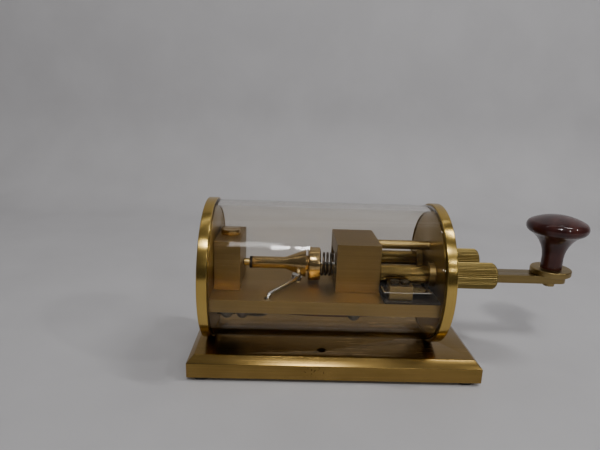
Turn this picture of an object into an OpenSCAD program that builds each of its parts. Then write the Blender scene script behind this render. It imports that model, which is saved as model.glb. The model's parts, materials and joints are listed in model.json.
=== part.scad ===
// Straight telegraph key: a brass base carries two upright discs that close a clear tube.
// Inside the tube a lever pivots in a block, a pull rod and a spring return it, and two
// knurled knobs on the front disc set the spring's tension and the contact gap.
// Millimetres, +Z up, +X along the lever towards the finger knob. The origin lies on the
// underside of the base plate, midway between the two bench holes.

/* [Base] */
// Length of the base plate, along the lever
base_l = 140; // [126:1:160]
// Width of the base plate
base_w = 60; // [54:1:80]
// Thickness of the base plate
base_t = 10.5; // [8:0.5:14]
// Width of the bevel round the base plate's top edge
base_bevel = 3.3; // [1:0.1:4]
// Distance from the middle of the drum forward to the middle of the base plate
base_shift = 6.1; // [3:0.1:9]
// Diameter of a rubber foot
foot_d = 11; // [8:0.5:14]
// Height of a rubber foot
foot_h = 2; // [1:0.5:4]
// Distance from the base plate's edges to the centre of a foot
foot_inset = 6.5; // [6:0.1:13]
// Draft of a foot's side, on its radius
foot_draft = 0.5; // [0:0.1:1]
// Radius of a bench hole
bench_r = 2.2; // [1.5:0.1:3]
// Distance between the two bench holes
bench_span = 40; // [30:1:44]

/* [Drum] */
// Diameter of the two discs
disc_d = 70; // [63:0.5:77]
// Thickness of a disc
disc_t = 4.7; // [4.4:0.1:7]
// Distance between the inner faces of the discs
drum_span = 106.1; // [104:0.1:116]
// How far a disc's rim stands out from the tube
disc_rim = 1; // [0.5:0.1:2]
// Wall of the clear tube
tube_wall = 3; // [2:0.1:3.4]
// Depth of the ring groove that seats an end of the tube
tube_seat = 0.8; // [0.4:0.1:0.8]
// Height of the flat that seats a disc on the base plate
disc_flat = 0.25; // [0.1:0.05:0.5]

/* [Platform and blocks] */
// Distance from the drum's axis down to the platform's top face
platform_drop = 6.25; // [5.5:0.05:7]
// Thickness of the platform
platform_t = 5.8; // [4:0.1:6.4]
// Width of the two blocks, across the lever
block_w = 32; // [31:0.5:36]
// Height of the two blocks
block_h = 23.5; // [23:0.1:26]
// Length of the rear block, along the lever
rear_block_l = 12.5; // [10:0.1:16]
// Length of the pivot block, along the lever
pivot_block_l = 21; // [20:0.1:22]
// Distance from the middle of the drum to the lever's pivot
pivot_x = 16; // [14:0.1:17]
// Diameter of the stay rod between the pivot block and the front disc
stay_d = 4.5; // [3:0.1:5]
// Height of the stay rod's axis above the platform
stay_lift = 20.2; // [19:0.1:20.4]

/* [Lever] */
// Width of the lever
lever_w = 9.8; // [9:0.1:10.4]
// Thickness of the lever
lever_t = 4.2; // [3.5:0.1:4.4]
// Height of the lever's underside above the platform
lever_lift = 3; // [2.9:0.1:3.2]
// Height of the lever's pivot above the platform
pivot_lift = 3.7; // [3.5:0.1:3.9]
// Diameter of the pivot axle
axle_d = 3; // [2:0.1:3.4]
// Outer diameter of a pivot bearing
bearing_d = 6; // [5:0.1:6.4]
// Width of a pivot bearing
bearing_w = 2.5; // [2:0.1:2.6]
// Distance from the front disc to the finger knob's axis
knob_reach = 59.75; // [50:0.25:75]
// Length of the lever beyond the finger knob's axis
lever_tip = 7.9; // [6:0.1:12]
// Diameter of the finger knob's cap
cap_d = 29; // [24:0.1:36]
// Diameter of the finger knob's stem
stem_d = 10.2; // [9:0.1:13]
// Height of the finger knob
knob_h = 27.7; // [24:0.1:34]
// Diameter of the flange under the finger knob
flange_d = 19.6; // [16:0.1:24]
// Thickness of the flange under the finger knob
flange_t = 3; // [2:0.1:5]

/* [Pull rod and spring] */
// Height of the pull rod's and adjusters' axes above the platform
rod_lift = 9; // [8.8:0.1:9.2]
// Diameter of the pull rod
rod_d = 2; // [1.6:0.1:2.4]
// Diameter of the sleeve on the pull rod
sleeve_d = 6; // [4:0.1:8]
// Length of the sleeve's straight part
sleeve_l = 16.6; // [10:0.1:18]
// Length of the sleeve's cone
cone_l = 10.2; // [6:0.1:12]
// Diameter of the cone's wide end
cone_d = 14; // [10:0.1:16]
// Diameter of the ring that the spring presses on
ring_d = 16.8; // [14:0.1:17.2]
// Length of that ring
ring_l = 6.1; // [4:0.1:8]
// Wire diameter of the return spring
spring_wire = 1.2; // [0.8:0.1:1.3]
// Outer diameter of the return spring
spring_d = 12.2; // [10:0.1:12.6]
// Distance between neighbouring curls of the spring
spring_pitch = 1.85; // [1.8:0.05:2.4]
// Number of curls in the spring
spring_curls = 3; // [2:1:5]

/* [Adjusters] */
// Distance from the lever's middle to an adjuster's axis
adjuster_y = 12; // [11.6:0.1:12.2]
// Diameter of an adjuster's knurled knob
grip_d = 12.9; // [10:0.1:13.2]
// Length of an adjuster's knurled knob
grip_l = 25; // [16:0.1:30]
// Diameter of the thick rod of an adjuster
shaft_d = 9; // [7:0.1:10]
// Diameter of the journal that turns in the front disc
journal_d = 6; // [5:0.1:7]
// Diameter of the threaded end of an adjuster
spindle_d = 3; // [2.5:0.1:3.2]
// Diameter of the collar behind the front disc
collar_d = 12.4; // [10:0.1:12.6]
// Length of the collar behind the front disc
collar_l = 2.75; // [2.4:0.05:4]
// Travel of the spring seat and of the gap stop
adjust_travel = 1.4; // [0.8:0.1:1.4]

/* [Contact] */
// Thickness of the insulating plate
plate_t = 0.8; // [0.6:0.1:0.9]
// Gap between the open contacts
contact_gap = 0.55; // [0.5:0.05:0.6]
// Diameter of a contact
contact_d = 3.2; // [2:0.1:4]
// Thickness of the contact leaf
leaf_t = 0.4; // [0.2:0.05:0.45]
// Length of a clamp jaw, along the lever
jaw_l = 10.8; // [9:0.1:11]
// Height of the lower clamp jaw
lower_jaw_h = 3.4; // [3:0.1:4]
// Height of the upper clamp jaw
upper_jaw_h = 2.8; // [2:0.1:3.4]
// Bore radius of the jack socket
jack_r = 1.8; // [1.25:0.05:2]

/* [Hidden] */
$fn = 64;

// Clearances
eps = 0.5;           // how far a cut runs past the face it opens
seat_play = 0.02;    // radial play of a piece fixed in its hole
run_play = 0.05;     // radial play of a turning or sliding fit
run_gap = 0.3;       // gap between faces that move past each other
side_gap = 0.4;      // gap beside the lever in its tunnel
thread_play = 0.08;  // radial play of a plain hole round a threaded end

// Levels above the base plate's underside
axis_z = base_t + disc_d / 2 - disc_flat;
platform_z = axis_z - platform_drop;
platform_low = platform_z - platform_t;
lever_z = platform_z + lever_lift;
lever_top = lever_z + lever_t;
pivot_z = platform_z + pivot_lift;
rod_z = platform_z + rod_lift;
stay_z = platform_z + stay_lift;
block_top = platform_z + block_h;

// Stations along the lever
front_in = drum_span / 2;
front_out = front_in + disc_t;
disc_mid = front_in + disc_t / 2;
block_rear = pivot_x - pivot_block_l / 2;
block_front = pivot_x + pivot_block_l / 2;
rear_block_gap = 0.5;
rear_block_x0 = -front_in + rear_block_gap;
rear_block_x1 = rear_block_x0 + rear_block_l;
rear_block_x = rear_block_x0 + rear_block_l / 2;
knob_x = front_out + knob_reach;
lever_x1 = knob_x + lever_tip;

// Tube and platform
tube_r = disc_d / 2 - disc_rim;
tube_bore = tube_r - tube_wall;
platform_play = 0.45;
platform_half = sqrt(pow(tube_bore - platform_play, 2) - pow(axis_z - platform_low, 2));
disc_edge = 0.5;

// Screws: shank radius, head radius and head height
base_screw = [1.45, 2.75, 3];
base_screw_bite = 8;
disc_screw = [1.45, 2.8, 1.4];
disc_screw_y = 18;
disc_screw_z = platform_z - platform_t / 2;
disc_screw_bite = 8;
block_screw = [1.95, 3.5, 2.8];
block_screw_bite = 5;
block_screw_y = 11.4;
pivot_screw_set = 5;
pivot_screw_x = block_front - pivot_screw_set;
top_screw_size = [2, 4.8, 2.6];
top_screw_bite = 8;
clamp_screw = [1.2, 2.2, 1.6];
tag_screw_size = [1.25, 2.4, 1.5];
tag_screw_bite = 3.5;
knob_screw_size = [2, 2.9, 2.2];
knob_screw_bite = 13;
set_screw_r = 0.95;
set_screw_sink = 0.4;
set_hex_deep = 0.8;
slot_w = 0.8;
slot_deep = 0.7;

// Finger knob
stem_h = 5.1;      // straight part of the stem
cap_roll = 3.4;    // radius of the cap's rolled edge
cap_crown = 6.1;   // rise of the crown above the middle of the rolled edge
flare_turn = 65;   // share of an ellipse's quarter that the flare takes, in degrees
roll_low = -60;    // where the rolled edge starts, in degrees from level
roll_high = 65;    // where the rolled edge meets the crown
knob_steps = 10;   // steps of each curve in the knob's outline

// Lever, its hub and its fork
hub_gap = 0.4;
hub_r = pivot_lift - hub_gap;
fork_l = 5.2;
fork_inset = 0.5;
fork_w = lever_w - 2 * fork_inset;
fork_rise = 6;
fork_top = rod_z + fork_rise;
fork_slot = 3.5;
eye_w = 2.8;
eye_r = 2.4;
pin_r = 1;
bearing_gap = 0.5;
bearing_y = lever_w / 2 + bearing_gap;
bearing_out = bearing_y + bearing_w;
plug_gap = 0.2;
tunnel_half = lever_w / 2 + side_gap;
tunnel_x0 = pivot_x - hub_r - side_gap;
tunnel_over = 0.6;
tunnel_top = fork_top + tunnel_over;
slot_drop = 1.4;
slot_rise = 0.6;
stay_bite = 3;

// Spring seat and gap stop, one behind the other in the pivot block's rear face
slide_play = 0.15;
ear_r = 3;
ear_half = 2.5;
seat_in = 0.5;
seat_t = 2;
seat_rim = 0.5;
seat_r = spring_d / 2 + seat_rim;
seat_x0 = block_rear + seat_in;
seat_pocket = seat_x0 + seat_t + adjust_travel + slide_play;
stop_t = 2;
stop_x1 = pivot_x - fork_l / 2 - run_gap;
stop_x0 = stop_x1 - stop_t;
eye_gap = 0.5;
stop_low = rod_z + eye_r + eye_gap;
stop_reach = fork_w / 2;

// Return spring, ring, sleeve and rod
spring_mean_r = (spring_d - spring_wire) / 2;
spring_l = spring_curls * spring_pitch + spring_wire;
spring_x0 = seat_x0 - run_gap - spring_l;
ring_x1 = spring_x0 - run_gap;
ring_x0 = ring_x1 - ring_l;
neck_l = 1.15;
neck_r = 4;
cone_x1 = ring_x0 - neck_l;
cone_x0 = cone_x1 - cone_l;
sleeve_x0 = cone_x0 - sleeve_l;
washer_t = 1.4;
washer_r = 4;
rod_r = rod_d / 2;
rod_end = 2.5;

// Adjusters
spindle_r = spindle_d / 2;
journal_r = journal_d / 2;
grip_x0 = front_out + run_gap;
grip_round = 1.4;
grip_edge = 0.6;
grip_depth = 12;
collar_x0 = front_in - run_gap - collar_l;
tip_out = 0.1;
tip_past = 0.6;
tension_tip = seat_x0 - tip_out;
gap_tip = stop_x0 - adjust_travel - tip_past;

// Contact group
plate_top = platform_z + plate_t;
plate_gap = 0.5;
plate_x0 = block_front + plate_gap;
plate_back = 8;
jaw_gap = 3;
jaw_set = 2.4;
jaw_x0 = block_front + jaw_gap;
jaw_front = -platform_half + jaw_set;
shaft_clear = 1;
jaw_back = -adjuster_y - shaft_d / 2 - shaft_clear;
jaw_split = plate_top + lower_jaw_h;
upper_jaw_z = jaw_split + leaf_t;
upper_jaw_top = upper_jaw_z + upper_jaw_h;
clamp_y = (jaw_front + jaw_back) / 2;
clamp_pitch = 4.8;
clamp_xs = [jaw_x0 + (jaw_l - clamp_pitch) / 2, jaw_x0 + (jaw_l + clamp_pitch) / 2];
bush_r = 2.2;
bush_flange_t = 0.8;
nut_h = 2;
nut_r = 2.3;
screw_show = 0.6;
leaf_gap = 0.4;
leaf_free = 0.7;
leaf_x0 = block_front + leaf_gap;
leaf_x1 = collar_x0 - leaf_free;
leaf_arm = 8.3;
leaf_inset = 0.4;
contact_x = leaf_x1 - leaf_arm / 2;
moving_t = 0.4;
fixed_t = 0.7;
fixed_top = lever_z - moving_t - contact_gap;
leaf_low = fixed_top - fixed_t - leaf_t;
leaf_clear = 0.5;
leaf_bend_y = jaw_back + leaf_clear;
leaf_bend_run = 2;
leaf_end = 2.4;
leaf_end_y = contact_d / 2 + leaf_end;

// Jack socket in the rear disc, midway between the platform and the tube's floor
jack_z = (platform_low + axis_z - tube_bore) / 2;
jack_body_r = 4.5;
jack_neck_r = 3.5;
jack_body_l = 9;
jack_nut_r = 5.5;
jack_nut_t = 2;
jack_stand = 0.5;
jack_x0 = -front_out - jack_nut_t - jack_stand;
jack_x1 = -front_in + jack_body_l;
jack_deep = 12;

// Leads: each runs from its tag or nut, over named points, to the jack's inner end
frame_wire_r = 1;
contact_wire_r = 0.8;
tag_x = -13;
tag_y = 3;
tag_t = 0.6;
tag_r = 2.8;
tongue_w = 3.2;
tongue_l = 6.5;
wire_hole_r = 1.6;
wire_hole_set = 3.4;
wire_hole = [-26.8, -platform_half + wire_hole_set, 0];
jack_lead_y = 2.2;
frame_lead_lift = 1;
contact_lead_drop = 1.2;
lead_stub = 2;
lead_droop = 10;
lead_gap = 0.4;

function between(a, b, t) = a + (b - a) * t;

frame_lie = [0, 0, platform_z + frame_wire_r + run_gap];
tag_end = [tag_x, tag_y - tongue_l + tag_t, 0];
frame_under = wire_hole + [0, 0, platform_low - frame_wire_r];
frame_jack = [jack_x1 + run_gap, -jack_lead_y, jack_z + frame_lead_lift];
frame_route = concat(
    [tag_end + frame_lie + [0, 0, tag_t]],
    [for (t = [0.15, 0.45, 0.75]) between(tag_end, wire_hole, t) + frame_lie],
    [between(tag_end, wire_hole, 0.96) + frame_lie - [0, 0, run_gap],
     wire_hole + [0, 0, platform_z - platform_t / 2],
     frame_under],
    [for (t = [0.2, 0.5, 0.8])
        between(frame_under, frame_jack, t) - [0, 0, t * (1 - t) * lead_droop]],
    [frame_jack + [lead_stub, 0, 0], frame_jack]);

contact_start = [clamp_xs[0] - nut_r - lead_gap, clamp_y, platform_low - bush_flange_t - nut_h / 2];
contact_jack = [jack_x1 + run_gap, jack_lead_y, jack_z - contact_lead_drop];
contact_route = concat(
    [contact_start, contact_start - [lead_stub, 0, 0]],
    [for (t = [0.15, 0.3, 0.5, 0.7, 0.85])
        between(contact_start, contact_jack, t) - [0, 0, t * (1 - t) * lead_droop]],
    [contact_jack + [lead_stub, 0, 0], contact_jack]);

// Colours
brass = "#b8912f";
gold = "#d4a63c";
steel = "#c9cbcc";
dark = "#2b2927";

// Vector and sweep functions

function unit(v) = v / norm(v);

// Points of a smooth curve through the route, with steps points for each stretch
function bend(p, i) = p[max(0, min(len(p) - 1, i))];
function blend(a, b, c, d, t) =
    0.5 * (2 * b + (c - a) * t + (2 * a - 5 * b + 4 * c - d) * t * t
    + (3 * b - a - 3 * c + d) * t * t * t);
function smooth(p, steps) = concat(
    [for (i = [0 : len(p) - 2]) for (s = [0 : steps - 1])
        blend(bend(p, i - 1), p[i], p[i + 1], bend(p, i + 2), s / steps)],
    [p[len(p) - 1]]);

// Direction of the path at each of its points
function heading(p, i) = unit(bend(p, i + 1) - bend(p, i - 1));

// Normals carried along the path without twist
function carry(n, t) = unit(n - (n * t) * t);
function normals(p, i, n) =
    let (m = carry(n, heading(p, i)))
    i == len(p) - 1 ? [m] : concat([m], normals(p, i + 1, m));

// A closed tube of the given sides along the points of a path
module swept(p, r, sides, first) {
    n = normals(p, 0, first);
    rings = len(p);
    points = [for (i = [0 : rings - 1]) for (k = [0 : sides - 1])
        let (a = 360 * k / sides, t = heading(p, i))
        p[i] + r * (cos(a) * n[i] + sin(a) * cross(t, n[i]))];
    walls = [for (i = [0 : rings - 2]) for (k = [0 : sides - 1])
        let (a = i * sides + k, b = i * sides + (k + 1) % sides)
        each [[a, a + sides, b], [b, a + sides, b + sides]]];
    caps = [for (k = [1 : sides - 2])
        each [[0, k, k + 1],
              [(rings - 1) * sides, (rings - 1) * sides + k + 1, (rings - 1) * sides + k]]];
    polyhedron(points, concat(walls, caps));
}

// Repeated shapes

module along_x(x0, x1, r, y = 0, z = 0) {
    translate([x0, y, z]) rotate([0, 90, 0]) cylinder(h = x1 - x0, r = r);
}

module along_y(y0, y1, r, x = 0, z = 0) {
    translate([x, y0, z]) rotate([-90, 0, 0]) cylinder(h = y1 - y0, r = r);
}

module turned_x(profile) {
    rotate([0, 90, 0]) rotate_extrude() polygon(profile);
}

// Cheese-head screw standing on z = 0 with its shank below, slotted across the head
module slotted_screw(size, bite) {
    difference() {
        union() {
            cylinder(h = size[2], r = size[1]);
            translate([0, 0, -bite]) cylinder(h = bite + size[2] / 2, r = size[0]);
        }
        translate([-size[1] - eps, -slot_w / 2, size[2] - slot_deep])
            cube([2 * (size[1] + eps), slot_w, slot_deep + eps]);
    }
}

module both_sides() {
    for (s = [-1, 1]) translate([0, s * block_screw_y, 0]) children();
}

module block_screw_places() {
    for (x = [rear_block_x, pivot_screw_x]) translate([x, 0, platform_low]) both_sides() children();
}

module disc_screw_places(side) {
    for (y = [-disc_screw_y, disc_screw_y])
        translate([side * front_out, y, disc_screw_z]) rotate([0, side * 90, 0]) children();
}

// Base

module base_plate() {
    color(brass) difference() {
        translate([base_shift - base_l / 2, -base_w / 2, 0]) cube([base_l, base_w, base_t]);
        for (s = [-1, 1]) {
            translate([base_shift + s * base_l / 2, 0, base_t]) rotate([0, 45, 0])
                cube([base_bevel * sqrt(2), base_w + 2 * eps, base_bevel * sqrt(2)], center = true);
            translate([base_shift, s * base_w / 2, base_t]) rotate([45, 0, 0])
                cube([base_l + 2 * eps, base_bevel * sqrt(2), base_bevel * sqrt(2)], center = true);
            translate([0, s * bench_span / 2, -eps]) cylinder(h = base_t + 2 * eps, r = bench_r);
            translate([s * disc_mid, 0, -eps]) {
                cylinder(h = base_t + 2 * eps, r = base_screw[0] + thread_play);
                cylinder(h = eps + base_screw[2] + run_gap, r = base_screw[1] + run_gap);
            }
        }
    }
}

module rubber_feet() {
    color(dark) for (sx = [-1, 1]) for (sy = [-1, 1])
        translate([base_shift + sx * (base_l / 2 - foot_inset), sy * (base_w / 2 - foot_inset), -foot_h])
            cylinder(h = foot_h, r1 = foot_d / 2 - foot_draft, r2 = foot_d / 2);
}

module base_screws() {
    color(steel) for (s = [-1, 1])
        translate([s * disc_mid, 0, base_screw[2] + run_gap]) mirror([0, 0, 1])
            slotted_screw(base_screw, base_t - base_screw[2] - run_gap + base_screw_bite);
}

// Drum

// A disc lying on z = 0 with its inner face up, before its own holes
module disc_blank() {
    r = disc_d / 2;
    rotate_extrude() polygon([
        [0, 0], [r - disc_edge, 0], [r, disc_edge], [r, disc_t - disc_edge], [r - disc_edge, disc_t],
        [tube_r + run_play, disc_t], [tube_r + run_play, disc_t - tube_seat],
        [tube_bore - run_play, disc_t - tube_seat], [tube_bore - run_play, disc_t], [0, disc_t]]);
}

// The disc in its place, with its flat and its screw holes
module placed_disc(side) {
    difference() {
        translate([side * front_out, 0, axis_z]) rotate([0, -side * 90, 0]) disc_blank();
        translate([side * disc_mid - disc_t, -disc_d / 2, axis_z - disc_d])
            cube([2 * disc_t, disc_d, disc_d / 2 + disc_flat]);
        translate([side * disc_mid, 0, base_t - eps])
            cylinder(h = base_screw_bite + 2 * eps, r = base_screw[0] + seat_play);
        disc_screw_places(side) {
            translate([0, 0, -disc_t - eps]) cylinder(h = disc_t + 2 * eps, r = disc_screw[0] + run_play);
            translate([0, 0, -disc_screw[2]])
                cylinder(h = disc_screw[2] + eps, r = disc_screw[1] + run_play);
        }
    }
}

module front_disc() {
    color(gold) difference() {
        placed_disc(1);
        translate([front_in - eps, -lever_w / 2 - side_gap, lever_z - slot_drop])
            cube([disc_t + 2 * eps, lever_w + 2 * side_gap, lever_t + slot_drop + slot_rise]);
        for (s = [-1, 1])
            along_x(front_in - eps, front_out + eps, journal_r + run_play, s * adjuster_y, rod_z);
        along_x(front_in - eps, front_in + disc_t / 2, stay_d / 2 + seat_play, 0, stay_z);
    }
}

module rear_disc() {
    color(gold) difference() {
        placed_disc(-1);
        along_x(-front_out - eps, -front_in + eps, jack_neck_r + seat_play, 0, jack_z);
    }
}

module disc_screws() {
    color(gold) for (side = [-1, 1]) disc_screw_places(side)
        translate([0, 0, -disc_screw[2]]) slotted_screw(disc_screw, disc_t - disc_screw[2] + disc_screw_bite);
}

module cover_tube() {
    half = front_in + tube_seat - run_play;
    color("#dfe6e8", 0.35) difference() {
        along_x(-half, half, tube_r, 0, axis_z);
        along_x(-half - eps, half + eps, tube_bore, 0, axis_z);
    }
}

// Platform and blocks

module platform() {
    color(brass) difference() {
        translate([-front_in, -platform_half, platform_low])
            cube([drum_span, 2 * platform_half, platform_t]);
        block_screw_places() translate([0, 0, -eps])
            cylinder(h = platform_t + 2 * eps, r = block_screw[0] + thread_play);
        for (side = [-1, 1]) disc_screw_places(side)
            translate([0, 0, -disc_t - disc_screw_bite - eps])
                cylinder(h = disc_screw_bite + 2 * eps, r = disc_screw[0] + seat_play);
        for (x = clamp_xs) translate([x, clamp_y, platform_low - eps])
            cylinder(h = platform_t + 2 * eps, r = bush_r + seat_play);
        translate([wire_hole[0], wire_hole[1], platform_low - eps])
            cylinder(h = platform_t + 2 * eps, r = wire_hole_r);
        translate([tag_x, tag_y, platform_z - tag_screw_bite])
            cylinder(h = tag_screw_bite + eps, r = tag_screw_size[0] + seat_play);
    }
}

module rear_block() {
    color(brass) difference() {
        translate([rear_block_x0, -block_w / 2, platform_z]) cube([rear_block_l, block_w, block_h]);
        along_x(rear_block_x0 - eps, rear_block_x1 + eps, rod_r + run_play, 0, rod_z);
        translate([rear_block_x, 0, platform_z - eps]) both_sides()
            cylinder(h = block_screw_bite + 2 * eps, r = block_screw[0] + seat_play);
        translate([rear_block_x, 0, block_top - top_screw_bite - eps])
            cylinder(h = top_screw_bite + 2 * eps, r = top_screw_size[0] + seat_play);
    }
}

// Outline of the spring seat, with x up the block and y across the lever
module seat_outline(play) {
    circle(r = seat_r + play);
    translate([0, -adjuster_y]) circle(r = ear_r + play);
    translate([-ear_half - play, -adjuster_y]) square([2 * (ear_half + play), adjuster_y]);
}

// Outline of the gap stop, with x up the block and y across the lever
module stop_outline(play) {
    low = stop_low - rod_z;
    translate([0, adjuster_y]) circle(r = ear_r + play);
    translate([low - play, -stop_reach - play])
        square([fork_rise - low + 2 * play, adjuster_y + ear_half + stop_reach + 2 * play]);
    translate([0, adjuster_y - ear_half - play])
        square([fork_rise + play, 2 * (ear_half + play)]);
}

// Stands an outline up across the lever, from one station to another
module stand_up(x0, x1) {
    translate([x0, 0, rod_z]) rotate([0, -90, 0]) mirror([0, 0, 1])
        linear_extrude(height = x1 - x0) children();
}

module pivot_block() {
    color(brass) difference() {
        translate([block_rear, -block_w / 2, platform_z]) cube([pivot_block_l, block_w, block_h]);
        translate([tunnel_x0, -tunnel_half, platform_z - eps])
            cube([block_front - tunnel_x0 + eps, 2 * tunnel_half, tunnel_top - platform_z + eps]);
        along_y(-bearing_out - plug_gap, block_w / 2 + eps, bearing_d / 2 + seat_play, pivot_x, pivot_z);
        stand_up(block_rear - eps, seat_pocket) seat_outline(slide_play);
        stand_up(block_rear - eps, stop_x1 + slide_play) stop_outline(slide_play);
        along_x(seat_pocket - eps, tunnel_x0 + eps, eye_r, 0, rod_z);
        for (s = [-1, 1])
            along_x(block_rear - eps, block_front + eps, spindle_r + thread_play, s * adjuster_y, rod_z);
        along_x(block_front - stay_bite, block_front + eps, stay_d / 2 + seat_play, 0, stay_z);
        translate([pivot_screw_x, 0, platform_z - eps]) both_sides()
            cylinder(h = block_screw_bite + 2 * eps, r = block_screw[0] + seat_play);
    }
}

module block_screws() {
    color(steel) block_screw_places() mirror([0, 0, 1])
        slotted_screw(block_screw, platform_t + block_screw_bite);
}

module top_screw() {
    color(gold) translate([rear_block_x, 0, block_top])
        slotted_screw(top_screw_size, top_screw_bite);
}

module stay_rod() {
    x0 = block_front - stay_bite + seat_play;
    color(gold) along_x(x0, front_in + disc_t / 2 - seat_play, stay_d / 2, 0, stay_z);
}

module pivot_bearings() {
    color(steel) for (s = [0, 1]) mirror([0, s, 0]) difference() {
        along_y(bearing_y, bearing_out, bearing_d / 2, pivot_x, pivot_z);
        along_y(bearing_y - eps, bearing_out + eps, axle_d / 2 + run_play, pivot_x, pivot_z);
    }
}

module pivot_plug() {
    color(brass) difference() {
        along_y(bearing_out + plug_gap, block_w / 2, bearing_d / 2, pivot_x, pivot_z);
        translate([pivot_x - slot_w / 2, block_w / 2 - slot_deep, pivot_z - bearing_d])
            cube([slot_w, slot_deep + eps, 2 * bearing_d]);
    }
}

// Return spring

curl_steps = 8;
wire_sides = 6;
spring_turn = 360 / curl_steps;
spring_path = [for (i = [0 : spring_curls * curl_steps])
    [spring_x0 + spring_wire / 2 + spring_pitch * i / curl_steps,
     spring_mean_r * sin(i * spring_turn),
     rod_z + spring_mean_r * cos(i * spring_turn)]];
spring_last = len(spring_path) - 1;
spring_wire_path = concat(
    [spring_path[0] - [0, spring_wire, 0]],
    spring_path,
    [spring_path[spring_last] + [0, spring_wire, 0]]);

// Least distance between points a curl or more apart, less the wire
spring_gap = min([for (i = [0 : spring_last]) for (j = [i + curl_steps - 2 : 1 : spring_last])
    norm(spring_path[j] - spring_path[i])]) - spring_wire;
echo(least_spring_gap = spring_gap);

module return_spring() {
    color(dark) swept(spring_wire_path, spring_wire / 2, wire_sides, [1, 0, 0]);
}

// Contact group

module insulating_plate() {
    color(dark) difference() {
        translate([plate_x0, -platform_half, platform_z])
            cube([front_in - plate_x0, platform_half + plate_back, plate_t]);
        for (x = clamp_xs) translate([x, clamp_y, platform_z - eps])
            cylinder(h = plate_t + 2 * eps, r = clamp_screw[0] + run_play);
    }
}

module jaw(z, h) {
    difference() {
        translate([jaw_x0, jaw_front, z]) cube([jaw_l, jaw_back - jaw_front, h]);
        for (x = clamp_xs) translate([x, clamp_y, z - eps])
            cylinder(h = h + 2 * eps, r = clamp_screw[0] + run_play);
    }
}

module lower_jaw() { color(gold) jaw(plate_top, lower_jaw_h); }

module upper_jaw() { color(gold) jaw(upper_jaw_z, upper_jaw_h); }

module clamp_screws() {
    color(steel) for (x = clamp_xs) translate([x, clamp_y, upper_jaw_top])
        slotted_screw(clamp_screw, upper_jaw_top - platform_low + bush_flange_t + nut_h + screw_show);
}

module clamp_bushes() {
    color(dark) for (x = clamp_xs) translate([x, clamp_y, platform_low]) difference() {
        union() {
            cylinder(h = platform_t, r = bush_r);
            translate([0, 0, -bush_flange_t]) cylinder(h = bush_flange_t, r = clamp_pitch / 2 - run_gap / 2);
        }
        translate([0, 0, -bush_flange_t - eps])
            cylinder(h = platform_t + bush_flange_t + 2 * eps, r = clamp_screw[0] + run_play);
    }
}

module clamp_nuts() {
    color(gold) for (x = clamp_xs)
        translate([x, clamp_y, platform_low - bush_flange_t - nut_h]) difference() {
            rotate([0, 0, 30]) cylinder(h = nut_h, r = nut_r, $fn = 6);
            translate([0, 0, -eps]) cylinder(h = nut_h + 2 * eps, r = clamp_screw[0] + seat_play);
        }
}

// The leaf: a strip gripped by the jaws, with an arm that steps down under the lever
module contact_leaf() {
    y0 = jaw_front + leaf_inset;
    y1 = leaf_bend_y + leaf_bend_run;
    color(steel) difference() {
        union() {
            translate([leaf_x0, y0, jaw_split]) cube([leaf_x1 - leaf_x0, leaf_bend_y - y0, leaf_t]);
            translate([leaf_x1, 0, 0]) rotate([90, 0, -90]) linear_extrude(height = leaf_arm)
                polygon([
                    [-y0, jaw_split], [-leaf_bend_y, jaw_split], [-y1, leaf_low], [leaf_end_y, leaf_low],
                    [leaf_end_y, leaf_low + leaf_t], [-y1, leaf_low + leaf_t],
                    [-leaf_bend_y, jaw_split + leaf_t], [-y0, jaw_split + leaf_t]]);
        }
        for (x = clamp_xs) translate([x, clamp_y, jaw_split - eps])
            cylinder(h = leaf_t + 2 * eps, r = clamp_screw[0] + run_play);
    }
}

module fixed_contact() {
    color(steel) translate([contact_x, 0, leaf_low + leaf_t]) cylinder(h = fixed_t, r = contact_d / 2);
}

// Leads and jack

module solder_tag() {
    color(steel) translate([tag_x, tag_y, platform_z]) difference() {
        union() {
            cylinder(h = tag_t, r = tag_r);
            translate([-tongue_w / 2, -tongue_l, 0]) cube([tongue_w, tongue_l, tag_t]);
        }
        translate([0, 0, -eps]) cylinder(h = tag_t + 2 * eps, r = tag_screw_size[0] + run_play);
    }
}

module tag_screw() {
    color(steel) translate([tag_x, tag_y, platform_z + tag_t])
        slotted_screw(tag_screw_size, tag_t + tag_screw_bite - seat_play);
}

module frame_lead() { color(steel) swept(smooth(frame_route, 3), frame_wire_r, 8, [0, 0, 1]); }

module contact_lead() { color("#7a1f1a") swept(smooth(contact_route, 3), contact_wire_r, 8, [0, 0, 1]); }

module jack_socket() {
    color(dark) difference() {
        union() {
            along_x(-front_in, jack_x1, jack_body_r, 0, jack_z);
            along_x(jack_x0, -front_in + eps, jack_neck_r, 0, jack_z);
        }
        along_x(jack_x0 - eps, jack_x0 + jack_deep, jack_r, 0, jack_z);
    }
}

module jack_nut() {
    color(gold) difference() {
        along_x(-front_out - jack_nut_t, -front_out, jack_nut_r, 0, jack_z);
        along_x(-front_out - jack_nut_t - eps, -front_out + eps, jack_neck_r + seat_play, 0, jack_z);
    }
}

// Lever

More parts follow.
